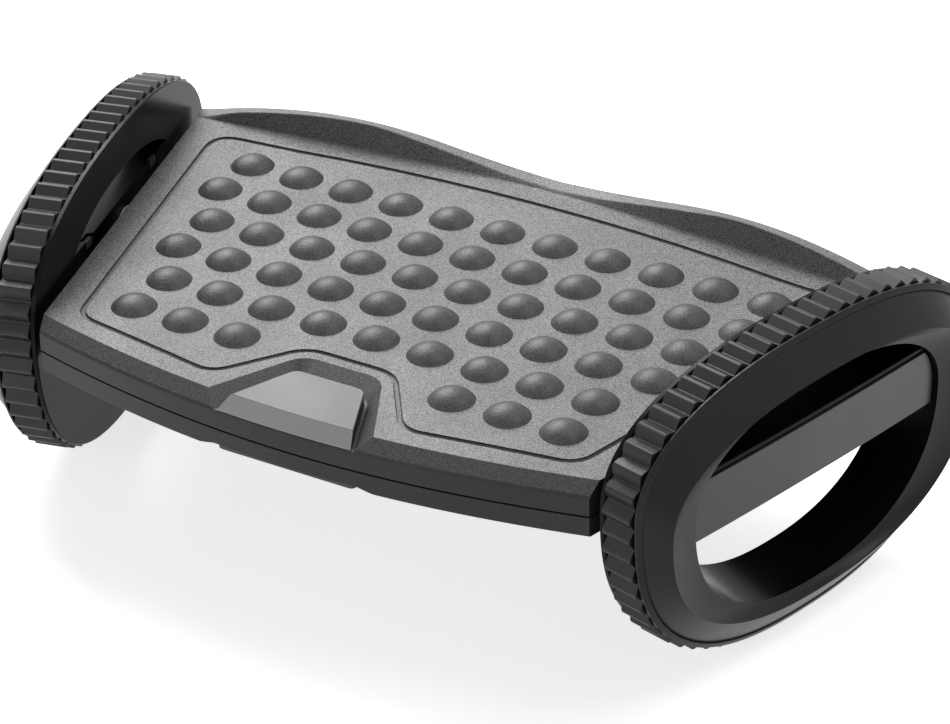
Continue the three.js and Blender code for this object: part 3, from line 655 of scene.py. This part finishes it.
def deck_bottom():
    tongue_inset = WALL + SEAT_GAP
    cavity_inset = tongue_inset + TONGUE_WALL
    seam = -PARTING_DROP - REVEAL_GAP
    outer = low_section(0, -DECK_THICKNESS, seam, FLOOR_CUT, SEAM_CUT)
    body = deck_body(outer, 0)
    tongue_low = -DECK_THICKNESS + FLOOR_CUT
    tongue = low_section(tongue_inset, tongue_low, -PARTING_DROP + TONGUE_RISE, 0, 0)
    add(body, deck_body(tongue, tongue_inset))
    cut(body, deck_body(low_section(cavity_inset, -DECK_THICKNESS + WALL, OVERRUN, 0, 0), cavity_inset))
    add(body, meet(pad_backing(), deck_body(outer, 0)))
    places = shell_screw_places() + [place for side in SIDES for place in carrier_screw_places(side)]
    head = SCREW_HEAD_RADIUS + HEAD_CLEARANCE
    foot = -DECK_THICKNESS + WALL / 2
    add(body, gather([post(x, y, head + PILLAR_WALL, foot, PILLAR_TOP) for x, y in places]))
    sinks = gather([post(x, y, head, -DECK_THICKNESS - OVERRUN, SCREW_SEAT) for x, y in places])
    holes = gather([post(x, y, PILOT_RADIUS, -DECK_THICKNESS, OVERRUN) for x, y in places])
    return cut(body, pad_recess(), sinks, holes, *(spigot_hole(side) for side in SIDES))


def plate_section(share):
    """A flat top with a small notch before the strip that slopes down to the lip."""
    edge = front_edge(share)
    return [
        (edge - LIP_REACH + LIP_CUT / 2, -BEVEL_DROP + SEAT_GAP, 0),
        (BACK, -BEVEL_DROP + SEAT_GAP, 0),
        (BACK, -PLATE_DROP, 0),
        (edge + PLATE_CREASE + PLATE_NOTCH, -PLATE_DROP, 0),
        (edge + PLATE_CREASE + PLATE_NOTCH / 2, -PLATE_DROP - PLATE_NOTCH / 2, 0),
        (edge + PLATE_CREASE, -PLATE_DROP, 0),
    ]


def badge_plate():
    """A cap, open below, with a flat top and a front strip that slopes to the lip."""
    core = plate_outline(-PLATE_WALL, -PLATE_WALL)
    hollow = stack([(core, -BEVEL_DROP - OVERRUN), (core, -PLATE_DROP - PLATE_WALL)])
    behind_strip = block((-POCKET_FRONT_HALF, FRONT + PLATE_CREASE, -DECK_THICKNESS),
                         (POCKET_FRONT_HALF, BACK, 0))
    eased, plan = plate_outline(-PLATE_CUT, -PLATE_CUT), plate_outline(0, 0)
    sides = stack([(plan, -DECK_THICKNESS), (plan, -PLATE_DROP - PLATE_CUT), (eased, -PLATE_DROP)])
    return cut(meet(deck_body(plate_section, 0), sides), meet(hollow, behind_strip))


def grip_pad():
    corners = [(-PAD_HALF, PAD_FRONT), (PAD_HALF, PAD_FRONT),
               (PAD_HALF, PAD_FRONT + PAD_DEPTH), (-PAD_HALF, PAD_FRONT + PAD_DEPTH)]
    middle = Vector((0, PAD_FRONT + PAD_DEPTH / 2))
    outline = softened([(x, y, PAD_CORNER) for x, y in corners])
    top = PAD_ROOF - SEAT_GAP
    levels = []
    for inset, z in ((PAD_CUT, top - PAD_WALL), (0, top - PAD_WALL + PAD_CUT), (0, top)):
        shrink = [(point - middle) for point in outline]
        near = [(p.x - math.copysign(inset, p.x), p.y - math.copysign(inset, p.y)) for p in shrink]
        levels.append(([(x + middle.x, y + middle.y) for x, y in near], z))
    return stack(levels)


def cross_recess(reach, depth):
    arms = [block((-reach, -CROSS_WIDTH / 2, -OVERRUN), (reach, CROSS_WIDTH / 2, depth)),
            block((-CROSS_WIDTH / 2, -reach, -OVERRUN), (CROSS_WIDTH / 2, reach, depth))]
    return add(*arms)


def screw():
    """A pan head with a cross recess at zero height, and a threaded shank above it."""
    top = SCREW_HEAD_HEIGHT + SCREW_LENGTH - SEAT_GAP
    dome = SCREW_HEAD_HEIGHT * HEAD_DOME_SHARE
    profile = [(0, 0)]
    for step in range(1, HEAD_STEPS + 1):
        turn = math.pi / 2 * step / HEAD_STEPS
        profile.append((SCREW_HEAD_RADIUS * math.sqrt(math.sin(turn)), dome * (1 - math.cos(turn))))
    profile += [(SCREW_HEAD_RADIUS, SCREW_HEAD_HEIGHT), (SCREW_SHANK_RADIUS, SCREW_HEAD_HEIGHT)]
    threads = int((SCREW_LENGTH - SEAT_GAP) / THREAD_PITCH) - 1
    for turn in range(threads):
        low = SCREW_HEAD_HEIGHT + THREAD_PITCH * (turn + 0.5)
        profile += [(SCREW_SHANK_RADIUS - THREAD_DEPTH, low), (SCREW_SHANK_RADIUS, low + THREAD_PITCH / 2)]
    profile += [(SCREW_SHANK_RADIUS - THREAD_DEPTH, top), (0, top)]
    return cut(lathe(profile, SCREW_SIDES), cross_recess(CROSS_REACH, CROSS_DEPTH))


# Egg outlines: half width, top, bottom, share of the height where it is widest, and power of the curve

def inset(egg, distance):
    return (egg[0] - distance, egg[1] - distance, egg[2] - distance, *egg[3:])


def blend(egg, other, share):
    return tuple(a + (b - a) * share for a, b in zip(egg, other))


def egg_point(egg, turn):
    half, top, bottom, widest_share, power = egg
    middle = -bottom + (top + bottom) * widest_share
    across, up = math.cos(turn), math.sin(turn)
    reach = top - middle if up > 0 else bottom + middle
    bulge = 2 / power
    return (half * math.copysign(abs(across) ** bulge, across),
            middle + reach * math.copysign(abs(up) ** bulge, up))


def egg_ring(egg, outboard):
    turns = [2 * math.pi * i / EGG_SIDES - math.pi / 2 for i in range(EGG_SIDES)]
    return [(outboard, *egg_point(egg, turn)) for turn in turns]


def egg_body(levels):
    return loft([egg_ring(egg, outboard) for egg, outboard in levels])


WHEEL_EGG = (WHEEL_HALF, WHEEL_TOP, WHEEL_BOTTOM, WHEEL_WIDEST_SHARE, WHEEL_POWER)
RIDGE_EGG = (WHEEL_HALF - RIDGE_END_INSET, WHEEL_TOP - RIDGE_TOP_INSET, WHEEL_BOTTOM - RIDGE_BOTTOM_INSET,
             RIDGE_WIDEST_SHARE, RIDGE_POWER)
OPENING_EGG = (RIDGE_EGG[0] - FUNNEL_END_INSET, RIDGE_EGG[1] - FUNNEL_TOP_INSET,
               RIDGE_EGG[2] - FUNNEL_BOTTOM_INSET, OPENING_WIDEST_SHARE, OPENING_POWER)
TUNNEL_EGG = (OPENING_EGG[0] - TUNNEL_END_TAPER, OPENING_EGG[1], OPENING_EGG[2] - TUNNEL_BOTTOM_TAPER,
              TUNNEL_WIDEST_SHARE, OPENING_POWER)
TREAD_HOLE = inset(WHEEL_EGG, VALLEY_DEPTH + TREAD_BASE)
DRUM_EGG = inset(TREAD_HOLE, SEAT_GAP)
SKIRT_EGG = inset(DRUM_EGG, WALL + SEAT_GAP)


def bar_face(along):
    return OPENING_EDGE - BAR_RECESS + BAR_BOW * (1 - (along / OPENING_EGG[0]) ** 2)


def bar_body(section):
    rings = []
    for i in range(BAR_STATIONS + 1):
        along = (2 * i / BAR_STATIONS - 1) * OPENING_EGG[0]
        rings.append([(outboard, along, z) for outboard, z in softened(section(along))])
    return loft(rings)


def channel_outer(along):
    face = bar_face(along) - BAR_STEP
    step = bar_face(along) - BAR_COVER_WALL - SEAT_GAP
    return [
        (WHEEL_GAP, -BAR_BOTTOM_INBOARD, 0),
        (step, -BAR_BOTTOM_OUTBOARD, BAR_CUT),
        (step, BAR_TOP_OUTBOARD - BAR_WALL, 0),
        (face, BAR_TOP_OUTBOARD - BAR_WALL, BAR_CUT),
        (face, BAR_TOP_OUTBOARD, BAR_CUT * 2),
        (WHEEL_GAP, BAR_TOP_INBOARD, 0),
    ]


def channel_cavity(along):
    past = bar_face(along) - BAR_COVER_WALL - SEAT_GAP + OVERRUN
    return [
        (PLATE_END, -BAR_BOTTOM_INBOARD + BAR_WALL, 0),
        (past, -BAR_BOTTOM_OUTBOARD + BAR_WALL, 0),
        (past, BAR_TOP_OUTBOARD - BAR_WALL, 0),
        (PLATE_END, BAR_TOP_INBOARD - BAR_WALL, 0),
    ]


def tunnel_hollow(clearance):
    tunnel, opening = inset(TUNNEL_EGG, clearance), inset(OPENING_EGG, clearance)
    return egg_body([(tunnel, WHEEL_GAP - OVERRUN), (tunnel, WHEEL_GAP), (opening, TUNNEL_END),
                     (opening, TUNNEL_END + OVERRUN)])


def window(along):
    half = ARM_WIDTH / 2 + WINDOW_MARGIN
    low = BAR_TOP_INBOARD - BAR_WALL - ARM_WALL - 2 * WINDOW_MARGIN
    return block((WHEEL_GAP - OVERRUN, along - half, low),
                 (PLATE_END + WINDOW_MARGIN, along + half, BAR_TOP_INBOARD + OVERRUN))


def wheel_frame():
    eased = inset(WHEEL_EGG, FLANGE_CUT)
    body = egg_body([(eased, WHEEL_GAP), (WHEEL_EGG, WHEEL_GAP + FLANGE_CUT),
                     (WHEEL_EGG, PLATE_END - FLANGE_CUT), (eased, PLATE_END)])
    add(body, egg_body([(DRUM_EGG, WHEEL_GAP + RIM_FLANGE / 2), (DRUM_EGG, DRUM_END)]))
    inner = inset(DRUM_EGG, WALL)
    cut(body, egg_body([(inner, PLATE_END), (inner, DRUM_END + OVERRUN)]))
    add(body, egg_body([(inset(TUNNEL_EGG, -WALL), WHEEL_GAP), (inset(OPENING_EGG, -WALL), TUNNEL_END)]))
    cut(body, tunnel_hollow(0))
    mid_wall = [(inset(TUNNEL_EGG, -WALL / 2), WHEEL_GAP), (inset(OPENING_EGG, -WALL / 2), TUNNEL_END)]
    channel = meet(bar_body(channel_outer), egg_body(mid_wall))
    cut(channel, meet(bar_body(channel_cavity), tunnel_hollow(0)))
    add(body, channel, axle_bar(BUSH_RADIUS + SEAT_GAP + BOSS_WALL, WHEEL_GAP, WHEEL_GAP + HUB_LENGTH))
    bore = axle_bar(BUSH_RADIUS + SEAT_GAP, 0, WHEEL_GAP + HUB_LENGTH + OVERRUN)
    return cut(body, bore, *(window(along) for along in (-ARM_SPREAD, ARM_SPREAD)))


def slope_levels():
    """The broad outer slope, slightly crowned, from the crease up to the ridge."""
    start = inset(WHEEL_EGG, BEVEL_WIDTH + 2 * CREASE_WIDTH)
    low = COVER_START + COVER_EDGE + BEVEL_RISE
    high = RIDGE_LINE - RIDGE_SOFT
    levels = []
    for step in range(SLOPE_STEPS + 1):
        share = step / SLOPE_STEPS
        crown = SLOPE_CROWN * math.sin(math.pi * share)
        outline = blend(start, inset(RIDGE_EGG, -RIDGE_SOFT), share)
        levels.append((outline, low + (high - low) * share + crown))
    return levels


def funnel_levels():
    """The slightly hollow inner slope, from the ridge down to the opening."""
    start = inset(RIDGE_EGG, RIDGE_SOFT)
    high = RIDGE_LINE - RIDGE_SOFT
    levels = []
    for step in range(FUNNEL_STEPS):
        share = step / FUNNEL_STEPS
        sag = FUNNEL_SAG * math.sin(math.pi * share)
        levels.append((blend(start, OPENING_EGG, share), high + (OPENING_EDGE - high) * share - sag))
    return levels


def wheel_cover():
    bevel_start = COVER_START + COVER_EDGE
    bevel_top = bevel_start + BEVEL_RISE
    bevel_turn = bevel_start + BEVEL_RISE * BEVEL_TURN_RISE_SHARE
    skirt_inner = inset(SKIRT_EGG, SKIRT_WALL)
    levels = [
        (WHEEL_EGG, COVER_START),
        (WHEEL_EGG, bevel_start),
        (inset(WHEEL_EGG, BEVEL_WIDTH * BEVEL_TURN_SHARE), bevel_turn),
        (inset(WHEEL_EGG, BEVEL_WIDTH), bevel_top),
        (inset(WHEEL_EGG, BEVEL_WIDTH + CREASE_WIDTH), bevel_top - CREASE_DEPTH),
        *slope_levels(),
        (RIDGE_EGG, RIDGE_LINE - RIDGE_EASE),
        *funnel_levels(),
        (OPENING_EGG, OPENING_EDGE),
        (inset(OPENING_EGG, -RIM_WALL), OPENING_EDGE),
        (RIDGE_EGG, RIDGE_LINE - COVER_WALL),
        (skirt_inner, COVER_START + SKIRT_RISE),
        (skirt_inner, DRUM_END - SKIRT_DEPTH),
        (SKIRT_EGG, DRUM_END - SKIRT_DEPTH),
        (SKIRT_EGG, COVER_START),
    ]
    return loft([egg_ring(egg, outboard) for egg, outboard in levels], joined=True)


def tread_line():
    """Points round the valley line, and the distance along it to each."""
    valley = inset(WHEEL_EGG, VALLEY_DEPTH)
    turns = [2 * math.pi * i / TREAD_SAMPLES - math.pi / 2 for i in range(TREAD_SAMPLES + 1)]
    points = [Vector(egg_point(valley, turn)) for turn in turns]
    lengths = [0]
    for before, after in zip(points, points[1:]):
        lengths.append(lengths[-1] + (after - before).length)
    return points, lengths


def rib_profile(pitch):
    """One rib's distances from its middle and heights over the valley, with eased corners."""
    height = VALLEY_DEPTH + RIB_PROUD
    foot, land = TREAD_FOOT_SHARE * pitch, TREAD_LAND_SHARE * pitch
    rise = [(-foot, 0, TREAD_CUT), (-land, height, TREAD_CUT)]
    fall = [(land, height, TREAD_CUT), (foot, 0, TREAD_CUT)]
    line = softened([(-pitch / 2, 0, 0), *rise, *fall, (pitch / 2, 0, 0)])
    return [(point.x, point.y) for point in line[:-1]]


def tread():
    """A closed band of cross ribs whose ends show as teeth beside the cover."""
    points, lengths = tread_line()
    pitch = lengths[-1] / RIB_COUNT
    profile = rib_profile(pitch)
    places = []
    step = 0
    for rib in range(RIB_COUNT):
        for aside, height in profile:
            place = (rib + 0.5) * pitch + aside
            while lengths[step + 1] < place and step < TREAD_SAMPLES - 1:
                step += 1
            along = (points[step + 1] - points[step]).normalized()
            past = place - lengths[step]
            turn = 2 * math.pi * (step + past / (lengths[step + 1] - lengths[step])) / TREAD_SAMPLES
            at, out = points[step] + along * past, Vector((along.y, -along.x))
            places.append((at, out, height, turn - math.pi / 2))
    rings = []
    for outboard, share in TREAD_END_LEVELS:
        across = TREAD_START + outboard
        rings.append([(across, *(at + out * height * share)) for at, out, height, _ in places])
    for outboard in (TREAD_END, TREAD_START):
        rings.append([(outboard, *egg_point(TREAD_HOLE, turn)) for *_, turn in places])
    return loft(rings, joined=True)


def crossbar_cover():
    top = BAR_TOP_OUTBOARD - BAR_WALL - SEAT_GAP

    def section(along):
        face = bar_face(along)
        back = face - BAR_COVER_WALL
        return [(back, -BAR_BOTTOM_OUTBOARD, 0), (face, -BAR_BOTTOM_OUTBOARD, BAR_COVER_CUT),
                (face, top, BAR_COVER_CUT), (back, top, 0)]

    strip = meet(bar_body(section), tunnel_hollow(BAR_END_GAP))
    fall = (BAR_TOP_INBOARD - BAR_TOP_OUTBOARD) / (bar_face(0) - WHEEL_GAP)

    def roof(outboard):
        return BAR_TOP_INBOARD - BAR_WALL - 2 * SEAT_GAP - (outboard - WHEEL_GAP) * fall

    root = bar_face(ARM_SPREAD) - BAR_COVER_WALL / 2
    tip = WHEEL_GAP + SEAT_GAP
    hook = PLATE_END - SEAT_GAP
    outline = [(tip, roof(tip) - ARM_WALL), (root, roof(root) - ARM_WALL - WINDOW_MARGIN),
               (root, roof(root) - WINDOW_MARGIN), (hook, roof(hook)), (hook, roof(hook) + HOOK_RISE),
               (tip, roof(tip) + HOOK_RISE)]
    for along in (-ARM_SPREAD, ARM_SPREAD):
        ends = (along - ARM_WIDTH / 2, along + ARM_WIDTH / 2)
        add(strip, loft([[(x, y, z) for x, z in outline] for y in ends]))
    return strip


# Materials

def linear(tone):
    """A grey of 0 to 255, as it shows on a screen, as light."""
    share = tone / LIGHTEST
    return share / 12.92 if share <= 0.04045 else ((share + 0.055) / 1.055) ** 2.4


def grey(tone, warmth=0.0):
    light = linear(tone)
    return (light * (1 + warmth), light, light * (1 - warmth), 1)


# How far the noises spread: from which value to which they run from one end to the other
GRAIN_SPREAD = (0.38, 0.62)
CLOUD_SPREAD = (0.35, 0.65)
GLOSS_SPREAD = (0.3, 0.7)
GLOSS_SHARES = (0.92, 1.08)
CLOUD_SIZE = 35
CLOUD_SHARE = 0.12
CLOUD_TONE_SHARE = 0.9

# Painted highlights on edges: how round the edges count as, from which turn to which they grow light, and
# the tone of the painted highlight
HIGHLIGHT_EDGE_RADIUS = 0.5
HIGHLIGHT_EDGE_SPREAD = (0.99, 0.85)
HIGHLIGHT_EDGE_SAMPLES = 4
HIGHLIGHT_EDGE_LIFT = 1.5
HIGHLIGHT_EDGE_TONE = 22
LIGHTEST = 255


def finish(name, tone, roughness, grain, relief, speckle_and_glint,
           edge_highlight=0.0, warmth=0.0, metallic=0.0, specular=0.5):
    """Moulded or turned surface; grain size and relief are in millimetres."""
    material = bpy.data.materials.new(name)
    material.use_nodes = True
    nodes, links = material.node_tree.nodes, material.node_tree.links
    shader = nodes["Principled BSDF"]
    shader.inputs["Metallic"].default_value = metallic
    shader.inputs["Specular IOR Level"].default_value = specular
    place = nodes.new("ShaderNodeTexCoord").outputs["Object"]

    def noise(size, detail=2.0):
        node = nodes.new("ShaderNodeTexNoise")
        node.inputs["Scale"].default_value = 1 / (size * MM)
        node.inputs["Detail"].default_value = detail
        links.new(place, node.inputs["Vector"])
        return node.outputs["Fac"]

    def spread(source, limits, start, end):
        node = nodes.new("ShaderNodeMapRange")
        values = {"From Min": limits[0], "From Max": limits[1], "To Min": start, "To Max": end}
        for key, value in values.items():
            node.inputs[key].default_value = value
        links.new(source, node.inputs["Value"])
        return node.outputs["Result"]

    def mix(share, first, second):
        node = nodes.new("ShaderNodeMix")
        node.data_type = "RGBA"
        for index, value in ((0, share), (6, first), (7, second)):
            if isinstance(value, (tuple, float)):
                node.inputs[index].default_value = value
            else:
                links.new(value, node.inputs[index])
        return node.outputs[2]

    fine = noise(grain)
    # Colour speckle on the grain: partly the grain's own random tone, partly painted glints that stand in
    # for sparkle off the grain, strongest on the coarse bevel and bumps.
    dark, light = tone * (1 - speckle_and_glint), tone * (1 + speckle_and_glint)
    colour = mix(spread(fine, GRAIN_SPREAD, 0, 1), grey(dark, warmth), grey(light, warmth))
    patch = noise(CLOUD_SIZE, 1.0)
    cloud = grey(tone * CLOUD_TONE_SHARE, warmth)
    colour = mix(spread(patch, CLOUD_SPREAD, 0, CLOUD_SHARE), colour, cloud)
    # Painted highlight along edges: where the bevel normal turns away from the face normal, the colour is
    # mixed towards a lighter tone.
    if edge_highlight:
        edge = nodes.new("ShaderNodeBevel")
        edge.samples = HIGHLIGHT_EDGE_SAMPLES
        edge.inputs["Radius"].default_value = HIGHLIGHT_EDGE_RADIUS * MM
        turn = nodes.new("ShaderNodeVectorMath")
        turn.operation = "DOT_PRODUCT"
        links.new(edge.outputs["Normal"], turn.inputs[0])
        links.new(nodes.new("ShaderNodeNewGeometry").outputs["Normal"], turn.inputs[1])
        edge_highlight_share = spread(turn.outputs["Value"], HIGHLIGHT_EDGE_SPREAD, 0, edge_highlight)
        colour = mix(edge_highlight_share, colour, grey(min(tone * HIGHLIGHT_EDGE_LIFT + HIGHLIGHT_EDGE_TONE, LIGHTEST), warmth))
    links.new(colour, shader.inputs["Base Color"])
    smooth, rough = (min(roughness * share, 1) for share in GLOSS_SHARES)
    links.new(spread(patch, GLOSS_SPREAD, smooth, rough), shader.inputs["Roughness"])
    bump_node = nodes.new("ShaderNodeBump")
    bump_node.inputs["Strength"].default_value = 1
    bump_node.inputs["Distance"].default_value = relief * MM
    links.new(fine, bump_node.inputs["Height"])
    links.new(bump_node.outputs["Normal"], shader.inputs["Normal"])
    return material


# Each finish: name, tone of 0 to 255, roughness, and grain size, relief and speckle, where the speckle is
# partly the grain's own tone and partly painted glints
TOP_GRAIN = finish("deck_top_grain", 92, 0.5, 0.45, 0.09, 0.75)
COARSE_GRAIN = finish("deck_coarse_grain", 48, 0.4, 0.6, 0.2, 0.95)
SHELL_SATIN = finish("deck_shell_satin", 42, 0.42, 0.9, 0.015, 0.12, edge_highlight=0.3, specular=0.3)
PLATE_SATIN = finish("badge_plate_satin", 124, 0.5, 0.3, 0.008, 0.03, edge_highlight=0.2)
PAD_RUBBER = finish("pad_rubber", 96, 0.8, 0.4, 0.04, 0.1)
TREAD_RUBBER = finish("tread_rubber", 30, 0.42, 0.5, 0.03, 0.15, edge_highlight=0.9, specular=0.35)
COVER_SATIN = finish("cover_satin", 30, 0.32, 0.45, 0.02, 0.08, edge_highlight=0.3, specular=0.22)
FRAME_GLOSS = finish("frame_gloss", 10, 0.22, 0.6, 0.004, 0.05, edge_highlight=0.4, specular=0.08)
STRIP_SATIN = finish("strip_satin", 58, 0.38, 0.3, 0.006, 0.03, edge_highlight=0.4)
STEEL = finish("zinc_plated_steel", 170, 0.32, 0.25, 0.004, 0.06, metallic=1.0)
BEARING = finish("bearing_plastic_white", 205, 0.5, 0.4, 0.006, 0.03, warmth=0.03)


# Placing the pieces

DECK_PLACE = Matrix.Diagonal((MM, MM, MM, 1)) @ Matrix.Translation((0, 0, STAND_HEIGHT))


def sharpen_borders(mesh):
    """Marks as sharp each edge where two finishes meet."""
    finishes = {}
    for face in mesh.polygons:
        for edge in face.edge_keys:
            finishes.setdefault(edge, set()).add(face.material_index)
    for edge in mesh.edges:
        if len(finishes[tuple(sorted(edge.vertices))]) > 1:
            edge.use_edge_sharp = True


def install(piece, name, place, body, nodes, materials, choose=None):
    """Names, dresses and places a piece in metres, on its body, in place of its CAD node."""
    piece.name = name
    piece.data.name = name
    piece.data.materials.clear()
    for material in materials:
        piece.data.materials.append(material)
    for face in piece.data.polygons:
        face.material_index = choose(face.center, face.normal) if choose else 0
    piece.data.transform(place)
    piece.data.shade_smooth()
    piece.data.set_sharp_from_angle(angle=SMOOTH_ANGLE)
    sharpen_borders(piece.data)
    even = piece.modifiers.new("even_shading", "WEIGHTED_NORMAL")
    even.keep_sharp = True
    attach(piece, body)
    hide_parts(*nodes)
    return piece


# Places in the list of finishes, and the slopes that tell faces apart
TOP, COARSE, SMOOTH = 0, 1, 2
LIP_TURN = -0.3
STEEP = 0.15
FLAT = 0.98
SLOPED = 0.4


def deck_surface(center, normal):
    """Which finish a face of the upper shell has: fine top, coarse bevel, bumps and walls, or smooth."""
    share = min(abs(center.x) / half_width(center.y, 0), 1)
    outside = center.y > back_crease(share) + EDGE_BAND - EDGE_CUT or center.z < -BEVEL_DROP + LIP_CUT / 2
    if outside or center.y < front_edge(share) - LIP_REACH + LIP_CUT / 2:
        return SMOOTH
    if center.y > back_crease(share) - SEAT_GAP and center.z > 0:
        return TOP
    if normal.z < STEEP:
        return SMOOTH
    return TOP if normal.z > FLAT and abs(center.z) < SEAT_GAP else COARSE


PLATE_TOP, PLATE_STRIP, PLATE_SIDE_SHADE = 0, 1, 2


def plate_surface(center, normal):
    """Plate finish on the flat top, a lighter copy with painted light on the sloping strip, and the
    near-black frame finish round the sides as painted shade.
    """
    if normal.z < SLOPED:
        return PLATE_SIDE_SHADE
    return PLATE_STRIP if center.y < front_edge(0) + PLATE_CREASE and normal.y < LIP_TURN else PLATE_TOP


# Painted light: a lighter copy of the plate's satin for the front-facing sloping strip, making up for
# light that slope misses.
PLATE_STRIP_PAINTED_LIGHT = finish("badge_strip_painted_light", 150, 0.45, 0.3, 0.008, 0.03, edge_highlight=0.2)

install(deck_top(), "deck_upper_moulding", DECK_PLACE, "deck", ["deck_top_shell"],
        [TOP_GRAIN, COARSE_GRAIN, SHELL_SATIN], deck_surface)
install(deck_bottom(), "deck_lower_moulding", DECK_PLACE, "deck", ["deck_bottom_shell"],
        [SHELL_SATIN])
# The plate's sides take the near-black frame finish as painted shade from the pocket round them.
install(badge_plate(), "badge_plate_face", DECK_PLACE, "deck", ["badge_plate"],
        [PLATE_SATIN, PLATE_STRIP_PAINTED_LIGHT, FRAME_GLOSS], plate_surface)
install(grip_pad(), "grip_pad_rubber", DECK_PLACE, "deck", ["grip_pad"], [PAD_RUBBER])

SCREW_PLACE = SCREW_SEAT - SCREW_HEAD_HEIGHT - SEAT_GAP
for number, (x, y) in enumerate(shell_screw_places(), 1):
    install(screw(), f"shell_screw_{number}_cross", DECK_PLACE @ Matrix.Translation((x, y, SCREW_PLACE)),
            "deck", [f"shell_screw_{number}"], [STEEL])

for side in SIDES:
    fore_and_aft = ("front", "back") if side == "right" else ("back", "front")
    for end, (x, y) in zip(fore_and_aft, carrier_screw_places(side)):
        install(screw(), f"{side}_{end}_carrier_screw_cross",
                DECK_PLACE @ Matrix.Translation((x, y, SCREW_PLACE)), "deck",
                [f"{side}_carrier_screw_{end}"], [STEEL])
    wheel_place = DECK_PLACE @ side_matrix(side)
    body = f"{side}_wheel"
    install(wheel_frame(), f"{side}_wheel_core", wheel_place, body,
            [f"{side}_wheel_frame"], [FRAME_GLOSS])
    install(tread(), f"{side}_tread_ribs", wheel_place, body,
            [f"{side}_tread"], [TREAD_RUBBER])
    install(wheel_cover(), f"{side}_cover_ring", wheel_place, body,
            [f"{side}_wheel_cover"], [COVER_SATIN])
    install(crossbar_cover(), f"{side}_crossbar_strip", wheel_place, body,
            [f"{side}_crossbar_cover"], [STRIP_SATIN])

INNER_FINISHES = {
    "side_carrier": SHELL_SATIN, "spigot": STEEL, "thrust_washer": BEARING, "wave_washer": STEEL,
    "retaining_washer": STEEL, "retaining_screw": STEEL, "hub_bush": BEARING,
}
for side in SIDES:
    for kind, material in INNER_FINISHES.items():
        for material_slot in frame["nodes"][f"{side}_{kind}"].material_slots:
            material_slot.material = material


# Floor, light and camera

FLOOR_HALF = 4.0
FLOOR_ROUGHNESS = 0.9
FLOOR_SPECULAR = 0.1
FLOOR_TONE = 245
FLOOR_GLOW = 0.75
WORLD_LIGHT = 0.12

CAMERA_PLACE = (0.8788, -1.4091, 1.0652)
CAMERA_RIGHT = (0.86046483, 0.50924977, -0.0162772)
CAMERA_DOWN = (0.24801526, -0.44654307, -0.85970211)
CAMERA_AHEAD = (-0.44507157, 0.73570643, -0.51053633)
CAMERA_LENS = 148.7
SENSOR_WIDTH = 36
FARTHEST = 50

# Each lamp: place, where it points, width, depth and power
LAMPS = {
    "key_softbox": ((-1.1, 0.9, 1.5), (0, 0, 0.1), 1.2, 1.2, 38),
    "top_softbox": ((0.9, 0.4, 1.7), (0.1, 0, 0.1), 0.8, 0.8, 7),
    "front_softbox": ((-0.7, -1.9, 0.9), (0, 0, 0.1), 1.4, 0.9, 5),
}


def seen_directly(tree):
    """One for rays from the camera, off gloss or through glass, so that gloss shows the white studio."""
    path = tree.nodes.new("ShaderNodeLightPath")
    total = path.outputs["Is Camera Ray"]
    for name in ("Is Glossy Ray", "Is Transmission Ray"):
        either = tree.nodes.new("ShaderNodeMath")
        either.operation = "MAXIMUM"
        tree.links.new(total, either.inputs[0])
        tree.links.new(path.outputs[name], either.inputs[1])
        total = either.outputs[0]
    return total


def light_world():
    world = bpy.data.worlds.new("studio")
    bpy.context.scene.world = world
    world.use_nodes = True
    tree = world.node_tree
    back = tree.nodes["Background"]
    back.inputs["Color"].default_value = (1, 1, 1, 1)
    strength = tree.nodes.new("ShaderNodeMapRange")
    strength.inputs["To Min"].default_value = WORLD_LIGHT
    strength.inputs["To Max"].default_value = 1
    tree.links.new(seen_directly(tree), strength.inputs["Value"])
    tree.links.new(strength.outputs["Result"], back.inputs["Strength"])


def lay_floor():
    corners = [(x * FLOOR_HALF, y * FLOOR_HALF, 0) for x, y in ((-1, -1), (1, -1), (1, 1), (-1, 1))]
    mesh = bpy.data.meshes.new("floor")
    mesh.from_pydata(corners, [], [(0, 1, 2, 3)])
    floor = bpy.data.objects.new("floor", mesh)
    bpy.context.scene.collection.objects.link(floor)
    material = bpy.data.materials.new("floor_paper")
    material.use_nodes = True
    tree = material.node_tree
    shader = tree.nodes["Principled BSDF"]
    shader.inputs["Base Color"].default_value = grey(FLOOR_TONE)
    shader.inputs["Roughness"].default_value = FLOOR_ROUGHNESS
    shader.inputs["Specular IOR Level"].default_value = FLOOR_SPECULAR
    shader.inputs["Emission Color"].default_value = (1, 1, 1, 1)
    glow = tree.nodes.new("ShaderNodeMath")
    glow.operation = "MULTIPLY"
    glow.inputs[1].default_value = FLOOR_GLOW
    tree.links.new(seen_directly(tree), glow.inputs[0])
    tree.links.new(glow.outputs[0], shader.inputs["Emission Strength"])
    mesh.materials.append(material)


def hang_lamps():
    for name, (place, target, width, depth, power) in LAMPS.items():
        light = bpy.data.lights.new(name, "AREA")
        light.shape = "RECTANGLE"
        light.size = width
        light.size_y = depth
        light.energy = power
        lamp = bpy.data.objects.new(name, light)
        lamp.location = place
        lamp.rotation_euler = (Vector(target) - Vector(place)).to_track_quat("-Z", "Y").to_euler()
        bpy.context.scene.collection.objects.link(lamp)


def set_camera():
    lens = bpy.data.cameras.new("camera")
    lens.lens = CAMERA_LENS
    lens.sensor_width = SENSOR_WIDTH
    lens.clip_end = FARTHEST
    camera = bpy.data.objects.new("camera", lens)
    right, down, ahead = Vector(CAMERA_RIGHT), Vector(CAMERA_DOWN), Vector(CAMERA_AHEAD)
    turned = Matrix((right, -down, -ahead)).transposed().to_4x4()
    camera.matrix_world = Matrix.Translation(CAMERA_PLACE) @ turned
    bpy.context.scene.collection.objects.link(camera)
    bpy.context.scene.camera = camera


light_world()
lay_floor()
hang_lamps()
set_camera()
bpy.context.scene.view_settings.view_transform = "Standard"
